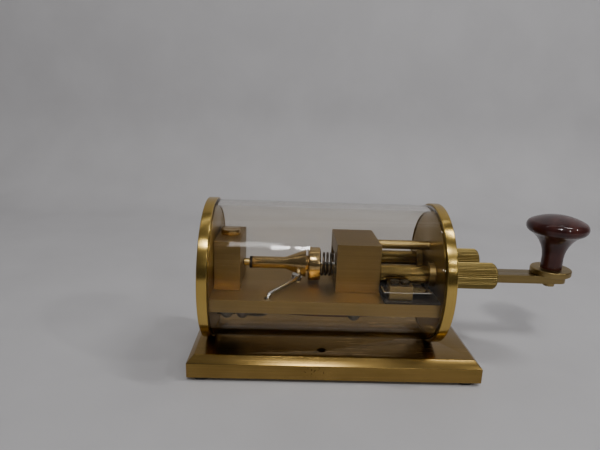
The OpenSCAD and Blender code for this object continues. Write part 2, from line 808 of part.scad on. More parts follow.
module lever_bar() {
    tip_r = lever_w / 2;
    color(gold) difference() {
        union() {
            translate([pivot_x, -tip_r, lever_z]) cube([lever_x1 - tip_r - pivot_x, lever_w, lever_t]);
            translate([lever_x1 - tip_r, 0, lever_z]) cylinder(h = lever_t, r = tip_r);
            along_y(-tip_r, tip_r, hub_r, pivot_x, pivot_z);
            translate([pivot_x - fork_l / 2, -fork_w / 2, pivot_z])
                cube([fork_l, fork_w, fork_top - pivot_z]);
        }
        translate([pivot_x - lever_w, -fork_slot / 2, rod_z - eye_r - run_gap])
            cube([2 * lever_w, fork_slot, lever_w]);
        along_y(-lever_w, lever_w, axle_d / 2 + seat_play, pivot_x, pivot_z);
        along_y(-lever_w, lever_w, pin_r + seat_play, pivot_x, rod_z);
        translate([knob_x, 0, lever_z - eps])
            cylinder(h = lever_t + 2 * eps, r = knob_screw_size[0] + run_play);
    }
}

module knob_flange() {
    color(gold) translate([knob_x, 0, lever_top]) rotate_extrude() polygon([
        [knob_screw_size[0] + run_play, 0], [flange_d / 2 - disc_edge, 0], [flange_d / 2, disc_edge],
        [flange_d / 2, flange_t - disc_edge], [flange_d / 2 - disc_edge, flange_t],
        [knob_screw_size[0] + run_play, flange_t]]);
}

// The turned knob: a stem that flares into a rolled edge under a spherical crown
module finger_knob() {
    stem_r = stem_d / 2;
    lip_r = cap_d / 2 - cap_roll;
    edge_z = knob_h - cap_crown;
    roll = [for (i = [0 : knob_steps]) let (a = roll_low + (roll_high - roll_low) * i / knob_steps)
        [lip_r + cap_roll * cos(a), edge_z + cap_roll * sin(a)]];
    flare_r = (roll[0][0] - stem_r) / (1 - cos(flare_turn));
    flare_h = (roll[0][1] - stem_h) / sin(flare_turn);
    flare = [for (i = [0 : knob_steps - 1]) let (a = flare_turn * i / knob_steps)
        [stem_r + flare_r * (1 - cos(a)), stem_h + flare_h * sin(a)]];
    rim = roll[knob_steps];
    rise = knob_h - rim[1];
    crown_r = (rim[0] * rim[0] + rise * rise) / (2 * rise);
    spread = asin(rim[0] / crown_r);
    crown = [for (i = [1 : knob_steps]) let (a = spread * (1 - i / knob_steps))
        [crown_r * sin(a), knob_h - crown_r * (1 - cos(a))]];
    color("#4a1c14") translate([knob_x, 0, lever_top + flange_t]) difference() {
        rotate_extrude() polygon(concat([[0, 0], [stem_r, 0]], flare, roll, crown));
        translate([0, 0, -eps])
            cylinder(h = knob_screw_bite + eps, r = knob_screw_size[0] + seat_play);
    }
}

module knob_screw() {
    color(gold) translate([knob_x, 0, lever_z]) mirror([0, 0, 1])
        slotted_screw(knob_screw_size, lever_t + flange_t + knob_screw_bite - seat_play);
}

module pivot_axle() {
    color(steel) along_y(-bearing_out, bearing_out, axle_d / 2, pivot_x, pivot_z);
}

module pull_pin() { color(steel) along_y(-fork_w / 2, fork_w / 2, pin_r, pivot_x, rod_z); }

module moving_contact() {
    color(steel) translate([contact_x, 0, lever_z - moving_t]) cylinder(h = moving_t, r = contact_d / 2);
}

// Pull rod

module pull_rod() {
    color(steel) difference() {
        union() {
            along_x(rear_block_x0 + rod_end, pivot_x, rod_r, 0, rod_z);
            along_y(-eye_w / 2, eye_w / 2, eye_r, pivot_x, rod_z);
        }
        along_y(-eye_w, eye_w, pin_r + run_play, pivot_x, rod_z);
    }
}

module rod_washer() {
    color(dark) difference() {
        along_x(sleeve_x0 - washer_t, sleeve_x0, washer_r, 0, rod_z);
        along_x(sleeve_x0 - washer_t - eps, sleeve_x0 + eps, rod_r + seat_play, 0, rod_z);
    }
}

module rod_sleeve() {
    bore = rod_r + seat_play;
    color(gold) translate([0, 0, rod_z]) turned_x([
        [bore, sleeve_x0], [sleeve_d / 2, sleeve_x0], [sleeve_d / 2, cone_x0], [cone_d / 2, cone_x1],
        [neck_r, cone_x1], [neck_r, ring_x0], [bore, ring_x0]]);
}

module tension_ring() {
    r = ring_d / 2;
    bore = rod_r + seat_play;
    color(gold) translate([0, 0, rod_z]) turned_x([
        [bore, ring_x0], [r - disc_edge, ring_x0], [r, ring_x0 + disc_edge], [r, ring_x1 - disc_edge],
        [r - disc_edge, ring_x1], [bore, ring_x1]]);
}

// Adjusters

module adjuster_shaft(side, tip) {
    color(brass) {
        along_x(tip, block_front + run_gap, spindle_r, side * adjuster_y, rod_z);
        along_x(block_front + run_gap, collar_x0, shaft_d / 2, side * adjuster_y, rod_z);
        along_x(collar_x0, grip_x0 + grip_depth, journal_r, side * adjuster_y, rod_z);
    }
}

module adjuster_knob(side) {
    r = grip_d / 2;
    bore = journal_r + seat_play;
    round_end = [for (a = [0 : 15 : 90])
        [r - grip_round + grip_round * cos(a), grip_l - grip_round + grip_round * sin(a)]];
    color(brass) translate([grip_x0, side * adjuster_y, rod_z]) turned_x(concat(
        [[bore, 0], [r - grip_edge, 0], [r, grip_edge]], round_end,
        [[0, grip_l], [0, grip_depth + seat_play], [bore, grip_depth + seat_play]]));
}

module adjuster_collar(side) {
    color(gold) translate([0, side * adjuster_y, rod_z]) difference() {
        along_x(collar_x0, collar_x0 + collar_l, collar_d / 2);
        along_x(collar_x0 - eps, collar_x0 + collar_l + eps, journal_r + seat_play);
        translate([collar_x0 + collar_l / 2, 0, 0]) cylinder(h = collar_d, r = set_screw_r + seat_play);
    }
}

module adjuster_screw(side) {
    z0 = journal_r + run_play;
    top = collar_d / 2 - set_screw_sink - z0;
    color(dark) translate([collar_x0 + collar_l / 2, side * adjuster_y, rod_z + z0]) difference() {
        cylinder(h = top, r = set_screw_r);
        translate([0, 0, top - set_hex_deep])
            cylinder(h = set_hex_deep + eps, r = set_screw_r / 2, $fn = 6);
    }
}

module tension_shaft() { adjuster_shaft(-1, tension_tip); }
module tension_knob() { adjuster_knob(-1); }
module tension_collar() { adjuster_collar(-1); }
module tension_screw() { adjuster_screw(-1); }
module gap_shaft() { adjuster_shaft(1, gap_tip); }
module gap_knob() { adjuster_knob(1); }
module gap_collar() { adjuster_collar(1); }
module gap_screw() { adjuster_screw(1); }

module spring_seat() {
    color(steel) difference() {
        stand_up(seat_x0, seat_x0 + seat_t) seat_outline(0);
        along_x(seat_x0 - eps, seat_x0 + seat_t + eps, rod_r + run_gap, 0, rod_z);
        along_x(seat_x0 - eps, seat_x0 + seat_t + eps, spindle_r + run_play, -adjuster_y, rod_z);
    }
}

module gap_stop() {
    color(steel) difference() {
        stand_up(stop_x0, stop_x1) stop_outline(0);
        along_x(stop_x0 - eps, stop_x1 + eps, spindle_r + run_play, adjuster_y, rod_z);
    }
}

base_plate();
rubber_feet();
base_screws();
front_disc();
rear_disc();
disc_screws();
cover_tube();
platform();
rear_block();
pivot_block();
block_screws();
top_screw();
stay_rod();
pivot_bearings();
pivot_plug();
return_spring();
insulating_plate();
lower_jaw();
upper_jaw();
clamp_screws();
clamp_bushes();
clamp_nuts();
contact_leaf();
fixed_contact();
solder_tag();
tag_screw();
frame_lead();
contact_lead();
jack_socket();
jack_nut();
lever_bar();
knob_flange();
finger_knob();
knob_screw();
pivot_axle();
pull_pin();
moving_contact();
pull_rod();
rod_washer();
rod_sleeve();
tension_ring();
tension_shaft();
tension_knob();
tension_collar();
tension_screw();
spring_seat();
gap_shaft();
gap_knob();
gap_collar();
gap_screw();
gap_stop();
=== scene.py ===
"""Looks of a straight telegraph key: brass base, clear drum, lever, pull rod and adjusters."""

import json
import logging
import math
from dataclasses import dataclass, field
from enum import Enum
from typing import Sequence

import bmesh
import bpy
from mathutils import Matrix, Vector


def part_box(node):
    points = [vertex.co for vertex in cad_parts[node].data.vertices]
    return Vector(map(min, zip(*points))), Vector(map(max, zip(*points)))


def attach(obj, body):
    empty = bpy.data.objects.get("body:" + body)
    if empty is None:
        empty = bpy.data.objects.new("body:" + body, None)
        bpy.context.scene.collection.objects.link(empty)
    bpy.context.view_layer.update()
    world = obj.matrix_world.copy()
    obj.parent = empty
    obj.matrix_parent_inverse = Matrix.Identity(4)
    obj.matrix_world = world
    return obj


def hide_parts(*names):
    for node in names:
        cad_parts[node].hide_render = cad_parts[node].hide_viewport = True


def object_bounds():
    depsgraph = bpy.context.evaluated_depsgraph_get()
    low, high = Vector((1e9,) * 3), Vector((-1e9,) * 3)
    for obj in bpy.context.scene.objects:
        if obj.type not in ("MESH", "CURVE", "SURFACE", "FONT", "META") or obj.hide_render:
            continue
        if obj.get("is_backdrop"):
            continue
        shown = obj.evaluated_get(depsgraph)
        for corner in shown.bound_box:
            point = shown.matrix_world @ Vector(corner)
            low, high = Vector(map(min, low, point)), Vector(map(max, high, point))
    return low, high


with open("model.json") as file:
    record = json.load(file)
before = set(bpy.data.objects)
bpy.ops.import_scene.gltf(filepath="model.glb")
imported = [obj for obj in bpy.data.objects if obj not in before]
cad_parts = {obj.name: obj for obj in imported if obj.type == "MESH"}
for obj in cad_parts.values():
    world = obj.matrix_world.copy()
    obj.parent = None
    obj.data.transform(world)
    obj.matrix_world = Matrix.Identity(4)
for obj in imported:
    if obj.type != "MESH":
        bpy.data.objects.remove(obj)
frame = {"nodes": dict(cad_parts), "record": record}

log = logging.getLogger("telegraph_key")

Point = tuple[float, float, float]
Colour = tuple[float, float, float]
Span = tuple[float, float]
Profile = list[tuple[float, float]]
Mesh = bpy.types.Mesh
Material = bpy.types.Material
Socket = bpy.types.NodeSocket

MM = 0.001
ORIGIN: Point = (0.0, 0.0, 0.0)

# Ends of the ramp from the deep to the light tone of a lacquered or plain finish
TONE_ENDS: Span = (0.35, 0.7)

# Steps round a turned piece and a bar, and across an eased edge
ROUND = 192
BAR_SIDES = 64
EASE_STEPS = 2

# Angles in degrees: edges that stay sharp, edges that are eased, and facets that are one flat face
SHARP_ANGLE = 32.0
EASED_SHARP_ANGLE = 25.0
EASE_ANGLE = 40.0
FLAT_ANGLE = 0.4

# Lengths below which points are one, and a ring of a turned piece is a pole
WELD = 1e-6
POLE = 1e-9

# The tarnish specks' place along the base's front, and the depth of the discs' polished rim
SPECKS_X = -4 * MM
RIM_DEPTH = 0.3 * MM


class Axis(Enum):
    """Direction of a turned piece's axis, as the place of its coordinate."""

    X = 0
    Z = 2


class Grain(Enum):
    """How tool marks run: the scale of their noise along X, Y and Z, or rings round X."""

    ALONG_X = (0.012, 1.0, 1.0)
    TURNED_X = (0.0, 1.0, 1.0)
    NONE = (1.0, 1.0, 1.0)


class Nodes:
    """A short-hand for building a node tree."""

    def __init__(self, tree: bpy.types.NodeTree) -> None:
        """Keeps the tree that the nodes go to."""
        self.tree = tree

    def node(self, kind: str, inputs: dict | None = None, **values: object) -> bpy.types.Node:
        """Adds a node, sets its properties and feeds its inputs.

        Args:
            kind: the node's type name.
            inputs: what feeds each input, by the input's name or place.
            values: properties of the node.
        Returns:
            The new node.
        """
        made = self.tree.nodes.new(kind)
        for key, value in values.items():
            setattr(made, key, value)
        for key, source in (inputs or {}).items():
            self.feed(made.inputs[key], source)
        return made

    def out(self, kind: str, inputs: dict | None = None, output: str | int = 0, **values: object) -> Socket:
        """Adds a node as node() does, and gives one of its outputs by name or place."""
        return self.node(kind, inputs, **values).outputs[output]

    def feed(self, target: Socket, source: object) -> None:
        """Links an output to an input, or sets the input to a constant.

        Args:
            target: the input.
            source: an output socket or a constant.
        """
        if isinstance(source, Socket):
            self.tree.links.new(source, target)
        else:
            target.default_value = source

    def math(self, operation: str, *values: Socket | float) -> Socket:
        """A math node on sockets or numbers."""
        return self.out("ShaderNodeMath", dict(enumerate(values)), operation=operation)

    def ramp(self, factor: Socket, ends: Span, colours: tuple[Colour, Colour]) -> Socket:
        """A ramp between two colours.

        Args:
            factor: the value that picks the colour.
            ends: places of the two colours.
            colours: the two colours.
        Returns:
            The colour output.
        """
        made = self.node("ShaderNodeValToRGB", {"Fac": factor})
        for element, place, colour in zip(made.color_ramp.elements, ends, colours):
            element.position = place
            element.color = (*colour, 1.0)
        return made.outputs["Color"]

    def level(self, factor: Socket, ends: Span) -> Socket:
        """Maps a factor from 0..1 to the given ends."""
        return self.out("ShaderNodeMapRange", {"Value": factor, "To Min": ends[0], "To Max": ends[1]})


class NodeSketch(Nodes):
    """The node tree of one material."""

    def __init__(self, name: str, **constants: object) -> None:
        """Starts a material.

        Args:
            name: the material's name.
            constants: values of the shader's own sockets.
        """
        self.material = bpy.data.materials.new(name)
        self.material.use_nodes = True
        super().__init__(self.material.node_tree)
        self.tree.nodes.clear()
        self.shader = self.node("ShaderNodeBsdfPrincipled")
        self.node("ShaderNodeOutputMaterial", {"Surface": self.shader.outputs["BSDF"]})
        self.set(**constants)

    def set(self, **sockets: object) -> None:
        """Feeds the shader's own sockets; an underscore stands for a space."""
        for name, source in sockets.items():
            self.feed(self.shader.inputs[name.replace("_", " ")], source)

    def coords(self, scale: Point = (1.0, 1.0, 1.0), centre: Point = ORIGIN) -> Socket:
        """Object coordinates, moved to a centre and scaled.

        Args:
            scale: factors along X, Y and Z.
            centre: point that becomes the pattern's origin, in metres.
        Returns:
            The vector output.
        """
        place = self.out("ShaderNodeTexCoord", output="Object")
        steps = tuple(1.0 / factor for factor in scale)
        inputs = {"Vector": place, "Location": centre, "Scale": steps}
        return self.out("ShaderNodeMapping", inputs, vector_type="TEXTURE")

    def noise(self, vector: Socket, scale: float, detail: float) -> Socket:
        """A noise pattern's factor on the given coordinates."""
        return self.out("ShaderNodeTexNoise", {"Vector": vector, "Scale": scale, "Detail": detail}, "Fac")

    def length(self, vector: Socket) -> Socket:
        """Length of a vector."""
        return self.out("ShaderNodeVectorMath", {0: vector}, "Value", operation="LENGTH")

    def mix(self, factor: Socket, colour: object, other: object) -> Socket:
        """A mix of two colours, each a socket or a constant."""
        # The node has inputs for every type: 6 and 7 are the colours, and output 2 is their mix
        return self.out("ShaderNodeMix", {0: factor, 6: colour, 7: other}, 2, data_type="RGBA")

    def bump(self, height: Socket, strength: float, depth: float) -> None:
        """Sends a height pattern to the shader's normal; the depth is in metres."""
        inputs = {"Height": height, "Strength": strength, "Distance": depth}
        self.set(Normal=self.out("ShaderNodeBump", inputs))


@dataclass(frozen=True)
class Marks:
    """Fine tool marks of a metal finish."""

    grain: Grain = Grain.NONE
    scale: float = 900.0
    depth: float = 0.02 * MM
    strength: float = 0.25


@dataclass(frozen=True)
class MetalFinish:
    """A worked metal surface: tint, tool marks, stains and gloss."""

    light: Colour
    deep: Colour
    rough: Span
    marks: Marks = Marks()
    centre: Point = ORIGIN
    tone_ends: Span = (0.28, 0.72)
    cloud_scale: float = 60.0
    cloud_share: float = 0.45
    stain: Colour | None = None
    stain_centre: Point = ORIGIN
    stain_ends: Span = (0.70, 0.78)
    stain_scale: float = 900.0
    stain_reach: float = 14 * MM
    stain_gain: float = 0.13
    satin_within: float = 0.0
    # Share of the deep tone that the flat faces get: painted shade that darkens them
    face_shade_share: float = 0.62
    satin_rough: float = 0.34
    streak: float = 0.85
    streak_turn: float = 0.25

    def build(self, name: str) -> Material:
        """Builds the node material.

        Args:
            name: the material's name.
        Returns:
            The finished material.
        """
        sketch = NodeSketch(name, Metallic=1.0)
        if self.marks.grain is Grain.TURNED_X:
            marks = self.rings(sketch)
        else:
            along = sketch.coords(self.marks.grain.value, self.centre)
            marks = sketch.noise(along, self.marks.scale, detail=3.0)
        cloud = sketch.noise(sketch.coords(), self.cloud_scale, detail=5.0)
        cloudy = sketch.level(cloud, (0.0, self.cloud_share))
        mixed = sketch.math("MULTIPLY_ADD", marks, 1 - self.cloud_share, cloudy)
        colour = sketch.ramp(mixed, self.tone_ends, (self.deep, self.light))
        if self.stain is not None:
            colour = self.stained(sketch, colour)
        gloss = sketch.level(mixed, self.rough)
        if self.satin_within > 0.0:
            # Satin roughness on the flat faces, with their colour darkened as painted shade
            colour, gloss = self.satin_shaded_face(sketch, colour, gloss)
            self.streaked(sketch)
        sketch.set(Base_Color=colour, Roughness=gloss)
        sketch.bump(marks, self.marks.strength, self.marks.depth)
        return sketch.material

    def reach(self, sketch: NodeSketch) -> tuple[Socket, Socket]:
        """Distance from the X axis through the finish's centre, and the place along it.

        Args:
            sketch: the material that is being built.
        Returns:
            The distance and the place, in metres.
        """
        parts = sketch.node("ShaderNodeSeparateXYZ", {"Vector": sketch.coords(centre=self.centre)})
        flat = sketch.out("ShaderNodeCombineXYZ", {way: parts.outputs[way] for way in "YZ"})
        return sketch.length(flat), parts.outputs["X"]

    def rings(self, sketch: NodeSketch) -> Socket:
        """Fine rings round the X axis through the finish's centre.

        Args:
            sketch: the material that is being built.
        Returns:
            A factor that changes with the distance from the axis and along it.
        """
        distance, place = self.reach(sketch)
        turns = sketch.out("ShaderNodeCombineXYZ", {"X": distance, "Y": place})
        return sketch.noise(turns, self.marks.scale, detail=2.0)

    def satin_shaded_face(self, sketch: NodeSketch, colour: Socket, gloss: Socket) -> tuple[Socket, Socket]:
        """Satin flat faces inside a polished rim. Their colour is darkened as painted shade that stands in
        for the dark reflections on them.

        Args:
            sketch: the material that is being built.
            colour: the rim's colour.
            gloss: the rim's roughness.
        Returns:
            Colour and roughness of the rim and the faces.
        """
        rim = sketch.math("GREATER_THAN", self.reach(sketch)[0], self.satin_within)
        # The faces' colour is the deep tone made darker: painted shade in place of dark reflections
        shaded_face_tone = (*(self.face_shade_share * channel for channel in self.deep), 1.0)
        # Inputs 2 and 3 of a mix node are its plain numbers
        level = {0: rim, 2: self.satin_rough, 3: gloss}
        return sketch.mix(rim, shaded_face_tone, colour), sketch.out("ShaderNodeMix", level, data_type="FLOAT")

    def streaked(self, sketch: NodeSketch) -> None:
        """Spreads reflections across the fine grooves that turning leaves round the X axis."""
        around = sketch.out("ShaderNodeTangent", direction_type="RADIAL", axis="X")
        sketch.set(Tangent=around, Anisotropic=self.streak, Anisotropic_Rotation=self.streak_turn)

    def stained(self, sketch: NodeSketch, colour: Socket) -> Socket:
        """Dark tarnish specks over the metal's colour, thickest at the stain's centre.

        Args:
            sketch: the material that is being built.
            colour: the clean colour.
        Returns:
            The stained colour.
        """
        specks = sketch.noise(sketch.coords(), self.stain_scale, detail=4.0)
        away = sketch.length(sketch.coords(centre=self.stain_centre))
        near = {"Value": away, "From Max": self.stain_reach, "To Min": self.stain_gain, "To Max": 0.0}
        cluster = sketch.out("ShaderNodeMapRange", near, interpolation_type="SMOOTHSTEP")
        amount = sketch.ramp(sketch.math("ADD", specks, cluster), self.stain_ends, ((0, 0, 0), (1, 1, 1)))
        return sketch.mix(amount, colour, (*self.stain, 1.0))


@dataclass(frozen=True)
class ClearFinish:
    """Clear cast acrylic with faint wipe marks."""

    tint: Colour
    index: float = 1.24
    wipe_rough: Span = (0.0, 0.03)
    wipe_stretch: Point = (0.15, 1.0, 1.0)
    wipe_scale: float = 120.0

    def build(self, name: str) -> Material:
        """Builds the see-through material.

        Args:
            name: the material's name.
        Returns:
            The finished material.
        """
        sketch = NodeSketch(name, IOR=self.index, Transmission_Weight=1.0, Base_Color=(*self.tint, 1.0))
        haze = sketch.noise(sketch.coords(self.wipe_stretch), self.wipe_scale, detail=6.0)
        sketch.set(Roughness=sketch.level(haze, self.wipe_rough))
        return sketch.material


@dataclass(frozen=True)
class LacquerFinish:
    """A dark glossy turned knob with a reddish figure under lacquer."""

    light: Colour
    deep: Colour
    centre: Point
    rough: Span = (0.26, 0.38)
    coat: float = 0.7
    coat_rough: float = 0.03
    gloss: float = 0.1
    figure_stretch: Point = (1.0, 1.0, 0.2)
    figure_scale: float = 140.0
    relief: float = 0.03 * MM
    relief_strength: float = 0.06

    def build(self, name: str) -> Material:
        """Builds the lacquered material.

        Args:
            name: the material's name.
        Returns:
            The finished material.
        """
        sketch = NodeSketch(name, Coat_Weight=self.coat, Coat_Roughness=self.coat_rough, IOR=1.5,
                            Specular_IOR_Level=self.gloss)
        figure = sketch.noise(sketch.coords(self.figure_stretch, self.centre), self.figure_scale, detail=5.0)
        colour = sketch.ramp(figure, TONE_ENDS, (self.deep, self.light))
        sketch.set(Base_Color=colour, Roughness=sketch.level(figure, self.rough))
        sketch.bump(figure, self.relief_strength, self.relief)
        return sketch.material


@dataclass(frozen=True)
class PlainFinish:
    """A moulded or rubbery surface with fine speckle."""

    light: Colour
    deep: Colour
    rough: Span
    speckle: float = 700.0
    gloss: float = 0.5
    relief: float = 0.04 * MM
    relief_strength: float = 0.15

    def build(self, name: str) -> Material:
        """Builds the speckled material.

        Args:
            name: the material's name.
        Returns:
            The finished material.
        """
        sketch = NodeSketch(name, Specular_IOR_Level=self.gloss)
        grains = sketch.noise(sketch.coords(), self.speckle, detail=5.0)
        colour = sketch.ramp(grains, TONE_ENDS, (self.deep, self.light))
        sketch.set(Base_Color=colour, Roughness=sketch.level(grains, self.rough))
        sketch.bump(grains, self.relief_strength, self.relief)
        return sketch.material


class Finish(Enum):
    """The finishes of the key: the material's name and the record's material slot."""

    BASE = ("brushed_base_brass", "base_brass")
    DISC = ("turned_disc_brass", "polished_brass")
    POLISHED = ("polished_brass", "polished_brass")
    DULLED = ("dulled_brass", "polished_brass")
    BLOCK = ("brushed_block_brass", "block_brass")
    SHELF = ("brushed_platform_brass", "block_brass")
    KNURLED = ("knurled_brass", "knurled_brass")
    DRAWN = ("drawn_brass", "knurled_brass")
    LEVER = ("satin_lever_brass", "lever_brass")
    STEEL = ("bright_plate", "steel")
    GREY = ("grey_plate", "steel")
    DARK = ("dark_screws", "steel")
    SPRING = ("blued_spring", "spring_steel")
    CLEAR = ("clear_acrylic", "clear_tube")
    KNOB = ("lacquered_knob", "knob_wood")
    INSULATOR = ("black_insulator", "insulator")
    RUBBER = ("black_rubber", "rubber")
    SHEATH = ("red_sheath", "lead_sheath")

    @property
    def label(self) -> str:
        """The material's name."""
        return self.value[0]

    @property
    def slot(self) -> str:
        """The record's material slot."""
        return self.value[1]


def centre_of(node: str) -> Vector:
    """Middle of a CAD node's box."""
    low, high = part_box(node)
    return (low + high) / 2


def drum_axis() -> Vector:
    """Middle of the drum's axis, from the clear tube's box."""
    return centre_of("cover_tube")


def body_of(node: str) -> str:
    """Name of the body that carries a CAD node."""
    bodies = frame["record"]["behaviour"]["bodies"]
    return next(body for body, nodes in bodies.items() if node in nodes)


def finishes() -> dict[Finish, Material]:
    """Builds every material once.

    Returns:
        The material of each finish.
    """
    axis = tuple(drum_axis())
    knob = tuple(centre_of("finger_knob"))
    specks = (SPECKS_X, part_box("base_plate")[0].y, centre_of("base_plate").z)
    disc_low, disc_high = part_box("front_disc")
    rim = (disc_high.y - disc_low.y) / 2 - RIM_DEPTH
    brushed = Marks(Grain.ALONG_X, 1400.0, depth=0.04 * MM, strength=0.4)
    sawn = Marks(Grain.ALONG_X, 1200.0, depth=0.04 * MM, strength=0.35)
    satin = Marks(Grain.ALONG_X, 1300.0)
    drawn = Marks(Grain.ALONG_X, 1100.0, strength=0.18)
    rubbed = Marks(Grain.ALONG_X, 900.0, strength=0.2)
    turned_fine = Marks(Grain.TURNED_X, 1600.0, strength=0.12)
    turned_plain = Marks(Grain.TURNED_X, 1600.0, strength=0.16)
    recipes = {
        Finish.BASE: MetalFinish((0.37, 0.24, 0.075), (0.22, 0.14, 0.04), (0.20, 0.32), brushed,
                                 stain=(0.05, 0.026, 0.008), stain_centre=specks),
        # The disc's flat faces inside the rim are satin and get a darker colour, which is painted shade
        Finish.DISC: MetalFinish((0.64, 0.45, 0.13), (0.50, 0.33, 0.085), (0.20, 0.28), turned_fine, axis,
                                 satin_within=rim),
        Finish.POLISHED: MetalFinish((0.58, 0.42, 0.2), (0.46, 0.33, 0.15), (0.12, 0.24), turned_plain, axis),
        Finish.DULLED: MetalFinish((0.37, 0.27, 0.11), (0.28, 0.20, 0.078), (0.30, 0.44), rubbed),
        Finish.BLOCK: MetalFinish((0.28, 0.19, 0.075), (0.19, 0.127, 0.048), (0.32, 0.48), sawn),
        Finish.SHELF: MetalFinish((0.37, 0.255, 0.095), (0.26, 0.175, 0.062), (0.32, 0.48), sawn),
        Finish.KNURLED: MetalFinish((0.28, 0.205, 0.07), (0.18, 0.13, 0.042), (0.30, 0.44), rubbed),
        Finish.DRAWN: MetalFinish((0.33, 0.23, 0.075), (0.25, 0.168, 0.052), (0.12, 0.22), drawn),
        Finish.LEVER: MetalFinish((0.31, 0.225, 0.09), (0.23, 0.165, 0.065), (0.24, 0.38), satin),
        Finish.STEEL: MetalFinish((0.80, 0.80, 0.78), (0.62, 0.62, 0.60), (0.14, 0.28)),
        Finish.GREY: MetalFinish((0.16, 0.145, 0.115), (0.115, 0.104, 0.083), (0.40, 0.55)),
        Finish.DARK: MetalFinish((0.070, 0.055, 0.036), (0.045, 0.035, 0.023), (0.45, 0.60)),
        Finish.SPRING: MetalFinish((0.15, 0.115, 0.09), (0.06, 0.05, 0.042), (0.24, 0.40)),
        Finish.CLEAR: ClearFinish((0.935, 0.91, 0.865)),
        Finish.KNOB: LacquerFinish((0.080, 0.021, 0.016), (0.034, 0.009, 0.008), knob),
        Finish.INSULATOR: PlainFinish((0.026, 0.02, 0.014), (0.012, 0.009, 0.006), (0.55, 0.75), gloss=0.15),
        Finish.RUBBER: PlainFinish((0.022, 0.022, 0.022), (0.010, 0.010, 0.010), (0.6, 0.8)),
        Finish.SHEATH: PlainFinish((0.10, 0.022, 0.018), (0.06, 0.012, 0.010), (0.3, 0.45)),
    }
    return {finish: recipe.build(finish.label) for finish, recipe in recipes.items()}


@dataclass
class Workshop:
    """What every sub-assembly shares: the materials and the ways to dress a piece."""

    materials: dict[Finish, Material] = field(default_factory=finishes)

    def dress(self, mesh: Mesh, name: str, body: str, finish: Finish, *nodes: str) -> bpy.types.Object:
        """Makes a piece of a mesh, rides it on its body and hides the solids that it stands for.

        Args:
            mesh: the finished mesh, in place.
            name: the piece's name.
            body: the body that carries it.
            finish: the piece's finish.
            nodes: CAD nodes that the piece replaces.
        Returns:
            The new object.
        """
        piece = linked(name, mesh)
        self.coat(mesh, finish)
        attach(piece, body)
        if nodes:
            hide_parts(*nodes)
        log.info("%s on %s: %d faces", name, body, len(mesh.polygons))
        return piece

    def coat(self, mesh: Mesh, finish: Finish) -> None:
        """Makes a finish the only material of a mesh."""
        mesh.materials.clear()
        mesh.materials.append(self.materials[finish])

    def remake(self, mesh: Mesh, node: str, manner: str, finish: Finish) -> None:
        """Replaces one CAD node by a finished mesh; the manner of making it ends the piece's name."""
        self.dress(mesh, f"{node}_{manner}", body_of(node), finish, node)

    def keep(self, node: str, finish: Finish) -> None:
        """Gives a CAD node that keeps its own shape a finish."""
        self.coat(frame["nodes"][node].data, finish)
        log.info("%s keeps its solid", node)

    def eased(self, finish: Finish, width: float, *nodes: str) -> None:
        """Replaces CAD nodes by copies whose sharp edges are eased; the width is in metres."""
        for node in nodes:
            self.remake(eased_copy(node, width), node, "eased", finish)


def linked(name: str, data: bpy.types.ID) -> bpy.types.Object:
    """Puts a new object in the scene.

    Args:
        name: the object's name.
        data: its mesh, light or camera.
    Returns:
        The new object.
    """
    made = bpy.data.objects.new(name, data)
    bpy.context.scene.collection.objects.link(made)
    return made


def shade(mesh: Mesh, degrees: float = SHARP_ANGLE) -> Mesh:
    """Smooth shading that keeps edges sharper than an angle.

    Args:
        mesh: the mesh to shade.
        degrees: the angle.
    Returns:
        The same mesh.
    """
    mesh.shade_smooth()
    mesh.set_sharp_from_angle(angle=math.radians(degrees))
    return mesh


def baked(piece: bpy.types.Object) -> Mesh:
    """Turns an object with modifiers into a plain mesh and removes the object.

    Args:
        piece: the object with live modifiers.
    Returns:
        The evaluated mesh.
    """
    graph = bpy.context.evaluated_depsgraph_get()
    mesh = bpy.data.meshes.new_from_object(piece.evaluated_get(graph))
    bpy.data.objects.remove(piece)
    return mesh


def solid(name: str, sketch: bmesh.types.BMesh) -> Mesh:
    """Turns a sketch into a mesh and frees the sketch.

    Args:
        name: the mesh's name.
        sketch: the finished sketch.
    Returns:
        The new mesh.
    """
    mesh = bpy.data.meshes.new(name)
    sketch.to_mesh(mesh)
    sketch.free()
    return mesh


def stretched(name: str, sketch: bmesh.types.BMesh, middle: Vector, size: Vector) -> Mesh:
    """Stretches a sketch that lies round the origin, and sets it on its middle.

    Args:
        name: the mesh's name.
        sketch: the sketch of a cube or ball.
        middle: where its middle goes.
        size: the factors along X, Y and Z.
    Returns:
        The new mesh.
    """
    place = Matrix.Translation(middle) @ Matrix.Diagonal((*size, 1.0))
    bmesh.ops.transform(sketch, matrix=place, verts=sketch.verts)
    return solid(name, sketch)


def merged(node: str) -> Mesh:
    """A copy of a CAD node's mesh with its triangles joined into flat faces.

    Args:
        node: name of the CAD node.
    Returns:
        The joined mesh.
    """
    copy = frame["nodes"][node].data.copy()
    sketch = bmesh.new()
    sketch.from_mesh(copy)
    bmesh.ops.remove_doubles(sketch, verts=sketch.verts, dist=WELD)
    flat = math.radians(FLAT_ANGLE)
    bmesh.ops.dissolve_limit(sketch, angle_limit=flat, verts=sketch.verts, edges=sketch.edges)
    sketch.to_mesh(copy)
    sketch.free()
    return copy


def eased_copy(node: str, width: float) -> Mesh:
    """A merged copy of a CAD node with its sharp edges eased.

    Args:
        node: name of the CAD node.
        width: width of the eased edge in metres.
    Returns:
        The new mesh.
    """
    work = linked(f"{node}_work", merged(node))
    ease = work.modifiers.new("ease", "BEVEL")
    ease.width = width
    ease.segments = EASE_STEPS
    ease.limit_method = "ANGLE"
    ease.angle_limit = math.radians(EASE_ANGLE)
    ease.use_clamp_overlap = True
    ease.harden_normals = False
    return shade(baked(work), EASED_SHARP_ANGLE)


